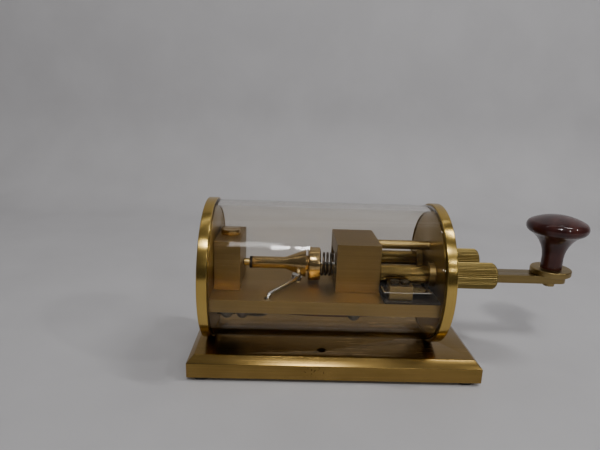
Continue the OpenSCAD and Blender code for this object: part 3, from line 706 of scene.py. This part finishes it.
def turned(name: str, profile: Profile, centre: Vector, axis: Axis, closed: bool = False,
           segments: int = ROUND) -> Mesh:
    """A turned mesh.

    Args:
        name: the mesh's name.
        profile: pairs of station along the axis and radius, in metres.
        centre: a point on the axis at station 0.
        axis: direction of the axis.
        closed: True where the profile is a closed loop round a bore.
        segments: number of steps round the axis.
    Returns:
        The new mesh.
    """
    units = Matrix.Identity(3)
    along, first, second = (units[(axis.value + place) % 3] for place in range(3))
    turns = [2 * math.pi * step / segments for step in range(segments)]
    sketch = bmesh.new()
    rings: list[list[bmesh.types.BMVert]] = []
    for station, radius in profile:
        middle = centre + along * station
        spokes = [Vector()]
        if radius > POLE:
            spokes = [first * radius * math.cos(turn) + second * radius * math.sin(turn) for turn in turns]
        rings.append([sketch.verts.new(middle + spoke) for spoke in spokes])
    pairs = list(zip(rings, rings[1:]))
    if closed:
        pairs.append((rings[-1], rings[0]))
    for near, far in pairs:
        for step in range(segments):
            after = (step + 1) % segments
            corners = [near[step % len(near)], near[after % len(near)],
                       far[after % len(far)], far[step % len(far)]]
            unique = list(dict.fromkeys(corners))
            if len(unique) > 2:
                sketch.faces.new(unique)
    bmesh.ops.recalc_face_normals(sketch, faces=sketch.faces)
    return shade(solid(name, sketch))


def arc(centre: Span, radius: float, start: float, end: float, steps: int) -> Profile:
    """Points of an arc in a turned profile, with angles in degrees: 0 along the axis and 90 outwards."""
    angles = [math.radians(start + (end - start) * i / steps) for i in range(steps + 1)]
    return [(centre[0] + radius * math.cos(a), centre[1] + radius * math.sin(a)) for a in angles]


def rolled_disc(thick: float, radius: float, edge: float, steps: int) -> Profile:
    """Profile of a disc with rounded edges, without its last point on the axis.

    Args:
        thick: the disc's thickness.
        radius: its radius.
        edge: radius of its edges.
        steps: number of steps in each edge.
    Returns:
        Pairs of station and radius.
    """
    inner = radius - edge
    back = arc((edge, inner), edge, 180, 90, steps)
    front = arc((thick - edge, inner), edge, 90, 0, steps)
    return [(0.0, 0.0), *back, *front]


def bar(name: str, x0: float, x1: float, radius: float, middle: Vector, ease: float = 0.0,
        sides: int = BAR_SIDES) -> Mesh:
    """A round bar along X.

    Args:
        name: the mesh's name.
        x0: place of its first end.
        x1: place of its last end.
        radius: its radius.
        middle: a point on its axis.
        ease: width of the chamfer at both ends.
        sides: number of steps round it.
    Returns:
        The bar's mesh, in place.
    """
    profile = [(x0, 0.0), (x0, radius - ease), (x0 + ease, radius), (x1 - ease, radius), (x1, radius - ease),
               (x1, 0.0)]
    # Without a chamfer, two points fall together at each end
    distinct = list(dict.fromkeys(profile))
    return turned(name, distinct, Vector((0, middle.y, middle.z)), Axis.X, segments=sides)


def block_mesh(low: Vector, high: Vector) -> Mesh:
    """A box between two corners.

    Args:
        low: the lowest corner.
        high: the highest corner.
    Returns:
        The box's mesh.
    """
    sketch = bmesh.new()
    bmesh.ops.create_cube(sketch, size=1.0)
    return stretched("block", sketch, (low + high) / 2, high - low)


def cut(mesh: Mesh, cutters: Sequence[Mesh]) -> Mesh:
    """Cuts shapes out of a mesh.

    Args:
        mesh: the mesh that is cut.
        cutters: closed meshes that are taken away.
    Returns:
        The cut mesh.
    """
    work = linked("cut_work", mesh)
    tools = [linked("cut_tool", cutter) for cutter in cutters]
    for tool in tools:
        step = work.modifiers.new("cut", "BOOLEAN")
        step.operation = "DIFFERENCE"
        step.solver = "EXACT"
        step.object = tool
    done = baked(work)
    for tool in tools:
        bpy.data.objects.remove(tool)
    return shade(done)


class NodeTree(Nodes):
    """A Geometry Nodes tree with named inputs, used once and then baked."""

    def __init__(self, name: str) -> None:
        """Makes the empty tree with its output.

        Args:
            name: the tree's name.
        """
        super().__init__(bpy.data.node_groups.new(name, "GeometryNodeTree"))
        self.name = name
        self.sockets: dict[str, str] = {}
        self.tree.interface.new_socket("Geometry", in_out="OUTPUT", socket_type="NodeSocketGeometry")
        self.inputs = self.node("NodeGroupInput")
        self.output = self.node("NodeGroupOutput")

    def ask(self, name: str, kind: str = "NodeSocketFloat") -> Socket:
        """Adds a named input.

        Args:
            name: the input's name.
            kind: the socket type.
        Returns:
            The input's socket inside the tree.
        """
        made = self.tree.interface.new_socket(name, in_out="INPUT", socket_type=kind)
        self.sockets[name] = made.identifier
        return self.inputs.outputs[name]

    def close(self, geometry: Socket, material: Material) -> None:
        """Ends the tree in Realize Instances and Set Material.

        Args:
            geometry: the last geometry output.
            material: the piece's material.
        """
        real = self.out("GeometryNodeRealizeInstances", {"Geometry": geometry})
        dressed = self.out("GeometryNodeSetMaterial", {"Geometry": real, "Material": material})
        self.feed(self.output.inputs["Geometry"], dressed)

    def mesh(self, start: Mesh | None = None, **sizes: float) -> Mesh:
        """Evaluates the tree.

        Args:
            start: the mesh that the tree gets, or None for an empty one.
            sizes: values of the named inputs.
        Returns:
            The plain mesh.
        """
        work = linked(self.name, start or bpy.data.meshes.new(self.name))
        step = work.modifiers.new("nodes", "NODES")
        step.node_group = self.tree
        for name, value in sizes.items():
            step[self.sockets[name]] = value
        return baked(work)


@dataclass
class Base:
    """Base plate with its feet and screws."""

    shop: Workshop
    plate_edge: float = 0.25 * MM
    foot_edge: float = 0.3 * MM
    screw_edge: float = 0.15 * MM

    def build(self) -> None:
        """Dresses the base plate, its feet and its screws."""
        self.shop.eased(Finish.BASE, self.plate_edge, "base_plate")
        self.shop.eased(Finish.RUBBER, self.foot_edge, "rubber_feet")
        self.shop.eased(Finish.STEEL, self.screw_edge, "base_screws")


@dataclass
class Drum:
    """The two polished discs and the clear tube between them."""

    shop: Workshop
    rim_edge: float = 0.45 * MM
    rim_steps: int = 5
    groove_inset: float = 4 * MM
    play: float = 0.05 * MM
    slot_side: float = 0.4 * MM
    slot_drop: float = 1.4 * MM
    slot_rise: float = 0.6 * MM
    bar_thick: float = 4.2 * MM
    shaft_bore: float = 3.05 * MM
    jack_bore: float = 3.52 * MM
    sink_depth: float = 1.4 * MM
    sink_overcut: float = 2 * MM
    sink_sides: int = 48
    overcut: float = 3 * MM
    flat_reach: float = 40 * MM
    tube_wall: float = 3 * MM
    tube_edge: float = 0.2 * MM
    tube_sides: int = 256
    screw_edge: float = 0.12 * MM
    nut_edge: float = 0.2 * MM
    socket_edge: float = 0.15 * MM

    def build(self) -> None:
        """Builds and dresses the discs, the tube, the disc screws and the jack."""
        self.shop.remake(self.disc("front_disc", self.front_cutters()), "front_disc", "turned", Finish.DISC)
        self.shop.remake(self.disc("rear_disc", self.rear_cutters()), "rear_disc", "turned", Finish.DISC)
        tube = self.shop.dress(self.tube(), "clear_tube_turned", "frame", Finish.CLEAR, "cover_tube")
        tube.visible_shadow = False
        self.shop.eased(Finish.POLISHED, self.screw_edge, "disc_screws")
        self.shop.eased(Finish.POLISHED, self.nut_edge, "jack_nut")
        self.shop.eased(Finish.INSULATOR, self.socket_edge, "jack_socket")

    def disc(self, node: str, cutters: list[Mesh]) -> Mesh:
        """A disc with rounded rim edges, its tube groove, its flat foot and its holes.

        Args:
            node: the CAD node that gives the disc's place.
            cutters: shapes that are cut out.
        Returns:
            The disc's mesh.
        """
        low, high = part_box(node)
        tube_low, tube_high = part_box("cover_tube")
        middle = drum_axis()
        radius = (high.y - low.y) / 2
        thick = high.x - low.x
        inward = -1 if middle.x < low.x else 1
        outer = low.x if inward > 0 else high.x
        seat = high.x - tube_low.x if inward > 0 else tube_high.x - low.x
        floor = thick - seat - self.play
        groove_out = (tube_high.y - tube_low.y) / 2 + self.play
        groove_in = radius - self.groove_inset - self.play
        groove = [(thick, groove_out), (floor, groove_out), (floor, groove_in), (thick, groove_in)]
        profile = [*rolled_disc(thick, radius, self.rim_edge, self.rim_steps), *groove, (thick, 0.0)]
        placed = [(inward * station, r) for station, r in profile]
        mesh = turned(node, placed, Vector((outer, middle.y, middle.z)), Axis.X)
        reach = self.flat_reach
        flat = block_mesh(Vector((low.x - reach, -reach, -reach)), Vector((high.x + reach, reach, low.z)))
        return cut(mesh, [flat, *cutters])

    def screw_cutters(self, side: int) -> list[Mesh]:
        """Countersinks for the disc screws.

        Args:
            side: 1 for the front disc, -1 for the rear one.
        Returns:
            The cutters.
        """
        low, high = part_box("disc_screws")
        radius = (high.z - low.z) / 2
        outer = high.x if side > 0 else low.x
        ends = (outer - side * self.sink_depth, outer + side * self.sink_overcut)
        middles = [Vector((0, y, (low.z + high.z) / 2)) for y in (low.y + radius, high.y - radius)]
        wide = radius + self.play
        return [bar("countersink", *ends, wide, middle, sides=self.sink_sides) for middle in middles]

    def bore(self, disc: str, node: str, radius: float) -> Mesh:
        """A round cutter through a disc, on the axis of a node."""
        low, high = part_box(disc)
        return bar("bore", low.x - self.overcut, high.x + self.overcut, radius, centre_of(node))

    def front_cutters(self) -> list[Mesh]:
        """The lever's slot, the adjusters' bores and the screws' countersinks.

        Returns:
            The cutters.
        """
        low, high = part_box("front_disc")
        bar_low, bar_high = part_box("lever_bar")
        bar_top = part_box("knob_flange")[0].z
        over, side = self.overcut, self.slot_side
        slot_low = Vector((low.x - over, bar_low.y - side, bar_top - self.bar_thick - self.slot_drop))
        slot_high = Vector((high.x + over, bar_high.y + side, bar_top + self.slot_rise))
        bores = [self.bore("front_disc", node, self.shaft_bore) for node in ("tension_shaft", "gap_shaft")]
        return [block_mesh(slot_low, slot_high), *bores, *self.screw_cutters(1)]

    def rear_cutters(self) -> list[Mesh]:
        """The jack's bore and the screws' countersinks."""
        return [self.bore("rear_disc", "jack_nut", self.jack_bore), *self.screw_cutters(-1)]

    def tube(self) -> Mesh:
        """The clear tube with eased ends.

        Returns:
            The tube's mesh.
        """
        low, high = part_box("cover_tube")
        middle = drum_axis()
        outer = (high.y - low.y) / 2
        inner = outer - self.tube_wall
        e = self.tube_edge
        x0, x1 = low.x - middle.x, high.x - middle.x
        profile = [(x0, inner + e), (x0, outer - e), (x0 + e, outer), (x1 - e, outer), (x1, outer - e),
                   (x1, inner + e), (x1 - e, inner), (x0 + e, inner)]
        return turned("tube", profile, middle, Axis.X, closed=True, segments=self.tube_sides)


@dataclass
class Platform:
    """Platform, blocks and what is screwed to them."""

    shop: Workshop
    block_edge: float = 0.22 * MM
    rod_edge: float = 0.2 * MM
    jaw_edge: float = 0.15 * MM
    plate_edge: float = 0.1 * MM
    fine_edge: float = 0.08 * MM
    bright_xs: tuple[float, ...] = (-45.2 * MM, 13.6 * MM)
    dark_xs: tuple[float, ...] = (-38.0 * MM,)
    screw_inset: float = 3.4 * MM
    screw_r: float = 3.3 * MM
    screw_drop: float = 3.6 * MM
    screw_sides: int = 32

    def build(self) -> None:
        """Dresses the platform, the blocks, the stay rod and the fixed contact group."""
        shop = self.shop
        shop.eased(Finish.SHELF, self.block_edge, "platform")
        shop.eased(Finish.BLOCK, self.block_edge, "rear_block", "pivot_block")
        shop.eased(Finish.POLISHED, self.jaw_edge, "top_screw")
        shop.remake(self.stay_rod(), "stay_rod", "turned", Finish.DULLED)
        shop.eased(Finish.INSULATOR, self.plate_edge, "insulating_plate")
        shop.eased(Finish.LEVER, self.jaw_edge, "lower_jaw", "upper_jaw")
        shop.eased(Finish.GREY, self.fine_edge, "block_screws")
        shop.eased(Finish.DARK, self.fine_edge, "clamp_screws")
        shop.eased(Finish.STEEL, self.fine_edge, "contact_leaf", "fixed_contact", "solder_tag", "tag_screw")
        shop.keep("pivot_bearings", Finish.STEEL)
        shop.eased(Finish.INSULATOR, self.fine_edge, "clamp_bushes")
        shop.eased(Finish.POLISHED, self.fine_edge, "clamp_nuts")
        shop.eased(Finish.BLOCK, self.plate_edge, "pivot_plug")
        bright = self.edge_screws(self.bright_xs, Finish.GREY)
        shop.dress(bright, "edge_screws_bright", "frame", Finish.GREY)
        dark = self.edge_screws(self.dark_xs, Finish.SPRING)
        shop.dress(dark, "edge_screw_dark", "frame", Finish.SPRING)

    def edge_screws(self, stations: Sequence[float], finish: Finish) -> Mesh:
        """Domed screw heads under the platform's front edge.

        Args:
            stations: places of the screws along the lever.
            finish: the screws' finish.
        Returns:
            The heads' mesh, in place.
        """
        low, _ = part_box("platform")
        points = bpy.data.meshes.new("edge_screw_points")
        points.from_pydata([(x, low.y + self.screw_inset, low.z) for x in stations], [], [])
        tree = NodeTree("domed_screws")
        geometry = tree.ask("Points", "NodeSocketGeometry")
        radius, drop = tree.ask("Radius"), tree.ask("Drop")
        shape = {"Segments": self.screw_sides, "Rings": self.screw_sides // 2, "Radius": radius}
        ball = tree.out("GeometryNodeMeshUVSphere", shape)
        flatter = tree.math("DIVIDE", drop, radius)
        squash = tree.out("ShaderNodeCombineXYZ", {"X": 1.0, "Y": 1.0, "Z": flatter})
        layout = {"Points": geometry, "Instance": ball, "Scale": squash}
        tree.close(tree.out("GeometryNodeInstanceOnPoints", layout), self.shop.materials[finish])
        return shade(tree.mesh(points, Radius=self.screw_r, Drop=self.screw_drop))

    def stay_rod(self) -> Mesh:
        """The round rod from the pivot block to the front disc."""
        low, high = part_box("stay_rod")
        return bar("stay_rod", low.x, high.x, (high.z - low.z) / 2, centre_of("stay_rod"), self.rod_edge)


@dataclass
class Leads:
    """The bright lead on the platform and the sheathed lead under it."""

    shop: Workshop
    swell: float = 0.1 * MM
    rounds: int = 2
    sharp_angle: float = 60.0
    drop_size: Vector = field(default_factory=lambda: Vector((1.5, 1.7, 1.2)) * MM)
    drop_rounds: int = 4

    def build(self) -> None:
        """Dresses the two leads and the solder joint."""
        self.shop.remake(self.rounded("frame_lead"), "frame_lead", "round", Finish.STEEL)
        self.shop.remake(self.rounded("contact_lead"), "contact_lead", "round", Finish.SHEATH)
        self.shop.dress(self.solder(), "solder_joint", "frame", Finish.STEEL)

    def rounded(self, node: str) -> Mesh:
        """A smooth copy of a faceted lead.

        Args:
            node: the CAD node of the lead.
        Returns:
            The subdivided mesh.
        """
        work = linked(f"{node}_work", merged(node))
        smooth = work.modifiers.new("smooth", "SUBSURF")
        smooth.levels = self.rounds
        smooth.render_levels = self.rounds
        swell = work.modifiers.new("swell", "DISPLACE")
        swell.mid_level = 0.0
        swell.strength = self.swell
        return shade(baked(work), self.sharp_angle)

    def solder(self) -> Mesh:
        """The drop of solder where the bright lead leaves its tag.

        Returns:
            The drop's mesh, in place.
        """
        low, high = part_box("solder_tag")
        lead_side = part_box("frame_lead")[1].y
        middle = Vector(((low.x + high.x) / 2, lead_side, high.z + self.drop_size.z / 2))
        sketch = bmesh.new()
        bmesh.ops.create_icosphere(sketch, subdivisions=self.drop_rounds, radius=1.0)
        return shade(stretched("solder", sketch, middle, self.drop_size))


@dataclass
class PullRod:
    """Pull rod with its sleeve, ring and return spring."""

    shop: Workshop
    wire: float = 1.2 * MM
    wire_sides: int = 14
    curls: float = 3.0
    curl_steps: int = 48
    washer_r: float = 3.0 * MM
    bush_r: float = 1.9 * MM
    bush_gap: float = 0.4 * MM
    ease: float = 0.15 * MM
    seat_edge: float = 0.1 * MM
    rod_edge: float = 0.08 * MM

    def build(self) -> None:
        """Builds the turned pieces on the rod and the spring behind it."""
        self.shop.eased(Finish.STEEL, self.rod_edge, "pull_rod")
        self.shop.remake(self.washer(), "rod_washer", "turned", Finish.INSULATOR)
        self.shop.dress(self.bush(), "rod_bush", "pull_rod", Finish.DULLED)
        self.shop.eased(Finish.POLISHED, self.ease, "rod_sleeve", "tension_ring")
        self.shop.remake(self.spring(), "return_spring", "coil", Finish.SPRING)
        self.shop.eased(Finish.STEEL, self.seat_edge, "spring_seat", "gap_stop")

    def washer(self) -> Mesh:
        """The dark washer behind the sleeve, as wide as the sleeve."""
        low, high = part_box("rod_washer")
        return bar("washer", low.x, high.x, self.washer_r, centre_of("pull_rod"), self.ease)

    def bush(self) -> Mesh:
        """The short brass bush between the rear block and the washer.

        Returns:
            The bush's mesh, in place.
        """
        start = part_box("rear_block")[1].x + self.bush_gap
        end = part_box("rod_washer")[0].x
        return bar("bush", start, end, self.bush_r, centre_of("pull_rod"), self.ease)

    def spring(self) -> Mesh:
        """A wound spring that fills the CAD spring's box.

        Returns:
            The spring's mesh, in place.
        """
        low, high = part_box("return_spring")
        tree = NodeTree("wound_spring")
        radius, length, turns, gauge = (tree.ask(name) for name in ("Radius", "Length", "Turns", "Wire"))
        width = {"Start Radius": radius, "End Radius": radius}
        winding = {"Resolution": self.curl_steps, "Rotations": turns, "Height": length, **width}
        spiral = tree.out("GeometryNodeCurveSpiral", winding)
        section = {"Resolution": self.wire_sides, "Radius": tree.math("MULTIPLY", gauge, 0.5)}
        ring = tree.out("GeometryNodeCurvePrimitiveCircle", section)
        path = {"Curve": spiral, "Profile Curve": ring, "Fill Caps": True}
        tree.close(tree.out("GeometryNodeCurveToMesh", path), self.shop.materials[Finish.SPRING])
        mean = (high.z - low.z - self.wire) / 2
        long = high.x - low.x - self.wire
        mesh = tree.mesh(Radius=mean, Length=long, Turns=self.curls, Wire=self.wire)
        middle = centre_of("return_spring")
        start = Matrix.Translation((low.x + self.wire / 2, middle.y, middle.z))
        mesh.transform(start @ Matrix.Rotation(math.pi / 2, 4, "Y"))
        return shade(mesh)


@dataclass
class Lever:
    """Lever bar with the finger knob, its flange and its screw."""

    shop: Workshop
    bar_edge: float = 0.2 * MM
    pin_edge: float = 0.08 * MM
    screw_edge: float = 0.3 * MM
    flange_roll: float = 0.6 * MM
    flange_steps: int = 6
    stem: float = 5.1 * MM
    stem_h: float = 5.1 * MM
    flare_angle: float = 65.0
    flare_steps: int = 24
    cap_roll: float = 3.4 * MM
    cap_crown: float = 6.1 * MM
    cap_angles: Span = (150.0, 25.0)
    cap_steps: int = 20

    def build(self) -> None:
        """Builds the finger knob and dresses the lever."""
        self.shop.eased(Finish.LEVER, self.bar_edge, "lever_bar")
        self.shop.remake(self.flange(), "knob_flange", "turned", Finish.DULLED)
        self.shop.remake(self.knob(), "finger_knob", "turned", Finish.KNOB)
        self.shop.eased(Finish.DULLED, self.screw_edge, "knob_screw")
        self.shop.eased(Finish.STEEL, self.pin_edge, "pivot_axle", "pull_pin", "moving_contact")

    def flange(self) -> Mesh:
        """The brass flange under the knob, with rolled edges.

        Returns:
            The flange's mesh.
        """
        low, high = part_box("knob_flange")
        thick = high.z - low.z
        profile = rolled_disc(thick, (high.x - low.x) / 2, self.flange_roll, self.flange_steps)
        middle = centre_of("knob_flange")
        return turned("flange", [*profile, (thick, 0.0)], Vector((middle.x, middle.y, low.z)), Axis.Z)

    def knob(self) -> Mesh:
        """The turned knob: a stem that flares into a cap with a rolled rim and a domed crown.

        Returns:
            The knob's mesh.
        """
        low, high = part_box("finger_knob")
        tall = high.z - low.z
        lip = (high.x - low.x) / 2 - self.cap_roll
        roll = arc((tall - self.cap_crown, lip), self.cap_roll, *self.cap_angles, self.cap_steps)
        turn = math.radians(self.flare_angle)
        flare_r = (roll[0][1] - self.stem) / (1 - math.cos(turn))
        flare_h = (roll[0][0] - self.stem_h) / math.sin(turn)
        flare = [(self.stem_h + flare_h * math.sin(a), self.stem + flare_r * (1 - math.cos(a)))
                 for a in (turn * i / self.flare_steps for i in range(self.flare_steps))]
        rim_station, rim = roll[-1]
        rise = tall - rim_station
        ball = (rim ** 2 + rise ** 2) / (2 * rise)
        crown = arc((tall - ball, 0.0), ball, math.degrees(math.asin(rim / ball)), 0.0, self.cap_steps)
        profile = [(0.0, 0.0), (0.0, self.stem), *flare, *roll, *crown[1:]]
        middle = centre_of("finger_knob")
        return turned("knob", profile, Vector((middle.x, middle.y, low.z)), Axis.Z)


@dataclass
class Adjusters:
    """The two knurled adjusters on the front disc."""

    shop: Workshop
    ridges: int = 48
    ridge_sides: int = 4
    tooth: float = 0.28 * MM
    inset: float = 0.7 * MM
    outset: float = 1.0 * MM
    end_round: float = 0.8 * MM
    end_steps: int = 10
    inner_ease: float = 0.5 * MM
    grip_sides: int = 96
    collar_edge: float = 0.2 * MM
    shaft_edge: float = 0.15 * MM
    screw_edge: float = 0.05 * MM

    def build(self) -> None:
        """Builds the knurled knobs and dresses the shafts and collars."""
        for side in ("tension", "gap"):
            knob = f"{side}_knob"
            self.shop.remake(self.grip(knob), knob, "turned", Finish.KNURLED)
            self.shop.dress(self.knurl(knob), f"{knob}_knurl", body_of(knob), Finish.KNURLED)
            self.shop.eased(Finish.DULLED, self.collar_edge, f"{side}_collar")
            self.shop.eased(Finish.DRAWN, self.shaft_edge, f"{side}_shaft")
            self.shop.eased(Finish.SPRING, self.screw_edge, f"{side}_screw")

    def grip(self, node: str) -> Mesh:
        """The knob's body with its rounded outer end.

        Args:
            node: the CAD node of the knob.
        Returns:
            The knob's mesh.
        """
        low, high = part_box(node)
        radius = (high.z - low.z) / 2 - self.tooth
        long = high.x - low.x
        e = self.end_round
        profile = [(0.0, 0.0), (0.0, radius - self.inner_ease), (self.inner_ease, radius),
                   *arc((long - e, radius - e), e, 90, 0, self.end_steps), (long, 0.0)]
        middle = centre_of(node)
        return turned(node, profile, Vector((low.x, middle.y, middle.z)), Axis.X, segments=self.grip_sides)

    def knurl(self, node: str) -> Mesh:
        """Straight ridges round a knob.

        Args:
            node: the CAD node of the knob.
        Returns:
            The knurl's mesh, in place.
        """
        tree = NodeTree("straight_knurl")
        radius, length, size = (tree.ask(name) for name in ("Radius", "Length", "Size"))
        line = tree.out("GeometryNodeMeshLine", {"Count": self.ridges})
        turn = tree.math("MULTIPLY", tree.out("GeometryNodeInputIndex"), 2 * math.pi / self.ridges)
        across = tree.math("MULTIPLY", radius, tree.math("COSINE", turn))
        up = tree.math("MULTIPLY", radius, tree.math("SINE", turn))
        place = tree.out("ShaderNodeCombineXYZ", {"Y": across, "Z": up})
        moved = tree.out("GeometryNodeSetPosition", {"Geometry": line, "Position": place})
        rod = {"Vertices": self.ridge_sides, "Radius": size, "Depth": length}
        ridge = tree.out("GeometryNodeMeshCylinder", rod)
        laid = tree.out("GeometryNodeTransform", {"Geometry": ridge, "Rotation": (0.0, math.pi / 2, 0.0)})
        angle = tree.out("ShaderNodeCombineXYZ", {"X": turn})
        facing = tree.out("FunctionNodeEulerToRotation", {"Euler": angle})
        layout = {"Points": moved, "Instance": laid, "Rotation": facing}
        tree.close(tree.out("GeometryNodeInstanceOnPoints", layout), self.shop.materials[Finish.KNURLED])
        low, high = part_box(node)
        full = (high.z - low.z) / 2
        half = math.pi * full / self.ridges
        long = high.x - low.x - self.inset - self.outset
        mesh = tree.mesh(Radius=full - half, Length=long, Size=half)
        middle = centre_of(node)
        mesh.transform(Matrix.Translation((low.x + self.inset + long / 2, middle.y, middle.z)))
        mesh.shade_flat()
        return mesh


@dataclass(frozen=True)
class Lamp:
    """A soft rectangular light: its place and sides in metres, its power in watts."""

    name: str
    place: Point
    width: float
    depth: float
    power: float

    def hang(self, slant: float) -> None:
        """Puts the light in the scene.

        Args:
            slant: share of its place along X at which it faces the floor.
        """
        light = bpy.data.lights.new(self.name, "AREA")
        light.shape = "RECTANGLE"
        light.size = self.width
        light.size_y = self.depth
        light.energy = self.power
        target = Vector((self.place[0] * slant, 0.0, 0.0))
        lamp = linked(self.name, light)
        lamp.location = self.place
        lamp.rotation_euler = (target - Vector(self.place)).to_track_quat("-Z", "Y").to_euler()


@dataclass
class Studio:
    """Floor, light and the camera at the photograph's view."""

    floor_z: float
    floor_front: float = -1.4
    floor_half: float = 1.6
    wall_y: float = 0.42
    wall_tall: float = 1.2
    bend: float = 0.12
    bend_steps: int = 16
    sweep: PlainFinish = PlainFinish((0.60, 0.59, 0.60), (0.56, 0.55, 0.56), (0.55, 0.7), speckle=18.0)
    room_ends: Span = (0.35, 0.95)
    room_tones: tuple[Colour, Colour] = ((0.15, 0.145, 0.14), (0.62, 0.61, 0.61))
    room_strength: float = 0.2
    photo_width: int = 600
    focal_pixels: float = 489.834
    sensor: float = 36.0
    clip_start: float = 0.01
    eye: Point = (-18.40 * MM, -236.70 * MM, 126.64 * MM)
    yaw: float = math.radians(1.516)
    pitch: float = math.radians(13.93)
    roll: float = math.radians(2.017)
    slant: float = 0.5
    lamps: tuple[Lamp, ...] = (
        Lamp("ceiling_lamp_left", (-0.036, -0.73, 0.95), 0.046, 0.11, 1.8),
        Lamp("ceiling_lamp_right", (0.025, -0.73, 0.95), 0.042, 0.11, 1.7),
        Lamp("ceiling_strip", (-0.10, -0.62, 0.96), 0.14, 0.12, 0.7),
        Lamp("side_lamp", (1.19, -0.62, 1.00), 0.05, 0.05, 2.0),
        Lamp("corner_lamp", (0.478, -0.10, 0.95), 0.026, 0.30, 1.9),
        Lamp("far_lamp", (0.65, -1.30, 0.95), 0.08, 0.14, 1.5),
        Lamp("room_lamp", (0.88, -2.20, 0.95), 0.15, 0.13, 1.8),
        Lamp("wall_wash", (-0.10, 0.12, 1.10), 1.30, 0.10, 0.6),
    )

    def build(self) -> None:
        """Sets up the floor, the world, the lights and the camera."""
        self.floor()
        self.world()
        for lamp in self.lamps:
            lamp.hang(self.slant)
        self.camera()

    def floor(self) -> None:
        """A pale floor that curves up into a pale wall."""
        bend_y = self.wall_y - self.bend
        outline = [(self.floor_front, 0.0), (bend_y, 0.0)]
        outline += arc((bend_y, self.bend), self.bend, -90.0, 0.0, self.bend_steps)[1:]
        outline += [(self.wall_y, self.wall_tall)]
        sketch = bmesh.new()
        rows = [[sketch.verts.new((x, y, self.floor_z + z)) for x in (-self.floor_half, self.floor_half)]
                for y, z in outline]
        for near, far in zip(rows, rows[1:]):
            sketch.faces.new((near[0], near[1], far[1], far[0]))
        mesh = solid("sweep", sketch)
        mesh.shade_smooth()
        mesh.materials.append(self.sweep.build("pale_sweep"))
        linked("sweep", mesh)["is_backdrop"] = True

    def world(self) -> None:
        """A grey room, brighter overhead."""
        world = bpy.data.worlds.new("room")
        world.use_nodes = True
        bpy.context.scene.world = world
        room = Nodes(world.node_tree)
        way = room.out("ShaderNodeTexCoord", output="Generated")
        height = room.out("ShaderNodeSeparateXYZ", {"Vector": way}, "Z")
        share = room.out("ShaderNodeMapRange", {"Value": height, "From Min": -1.0})
        sky = room.tree.nodes["Background"]
        room.feed(sky.inputs["Color"], room.ramp(share, self.room_ends, self.room_tones))
        room.feed(sky.inputs["Strength"], self.room_strength)

    def camera(self) -> None:
        """The camera at the place that was fitted to the photograph."""
        level = math.cos(self.pitch)
        forward = Vector((math.sin(self.yaw) * level, math.cos(self.yaw) * level, -math.sin(self.pitch)))
        right = Vector((math.cos(self.yaw), -math.sin(self.yaw), 0.0))
        up = right.cross(forward)
        side = math.cos(self.roll) * right + math.sin(self.roll) * up
        top = -math.sin(self.roll) * right + math.cos(self.roll) * up
        turn = Matrix((side, top, -forward)).transposed()
        data = bpy.data.cameras.new("photo_camera")
        data.sensor_fit = "HORIZONTAL"
        data.sensor_width = self.sensor
        data.lens = self.focal_pixels / self.photo_width * self.sensor
        data.clip_start = self.clip_start
        camera = linked("photo_camera", data)
        camera.matrix_world = Matrix.Translation(self.eye) @ turn.to_4x4()
        bpy.context.scene.camera = camera


def main() -> None:
    """Builds every sub-assembly."""
    logging.basicConfig(level=logging.INFO, format="%(name)s: %(message)s")
    cad_box = [list(corner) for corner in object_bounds()]
    shop = Workshop()
    Studio(floor_z=cad_box[0][2]).build()
    for kind in (Base, Drum, Platform, Leads, PullRod, Lever, Adjusters):
        log.info("building %s", kind.__name__)
        kind(shop).build()


if __name__ == "__main__":
    main()
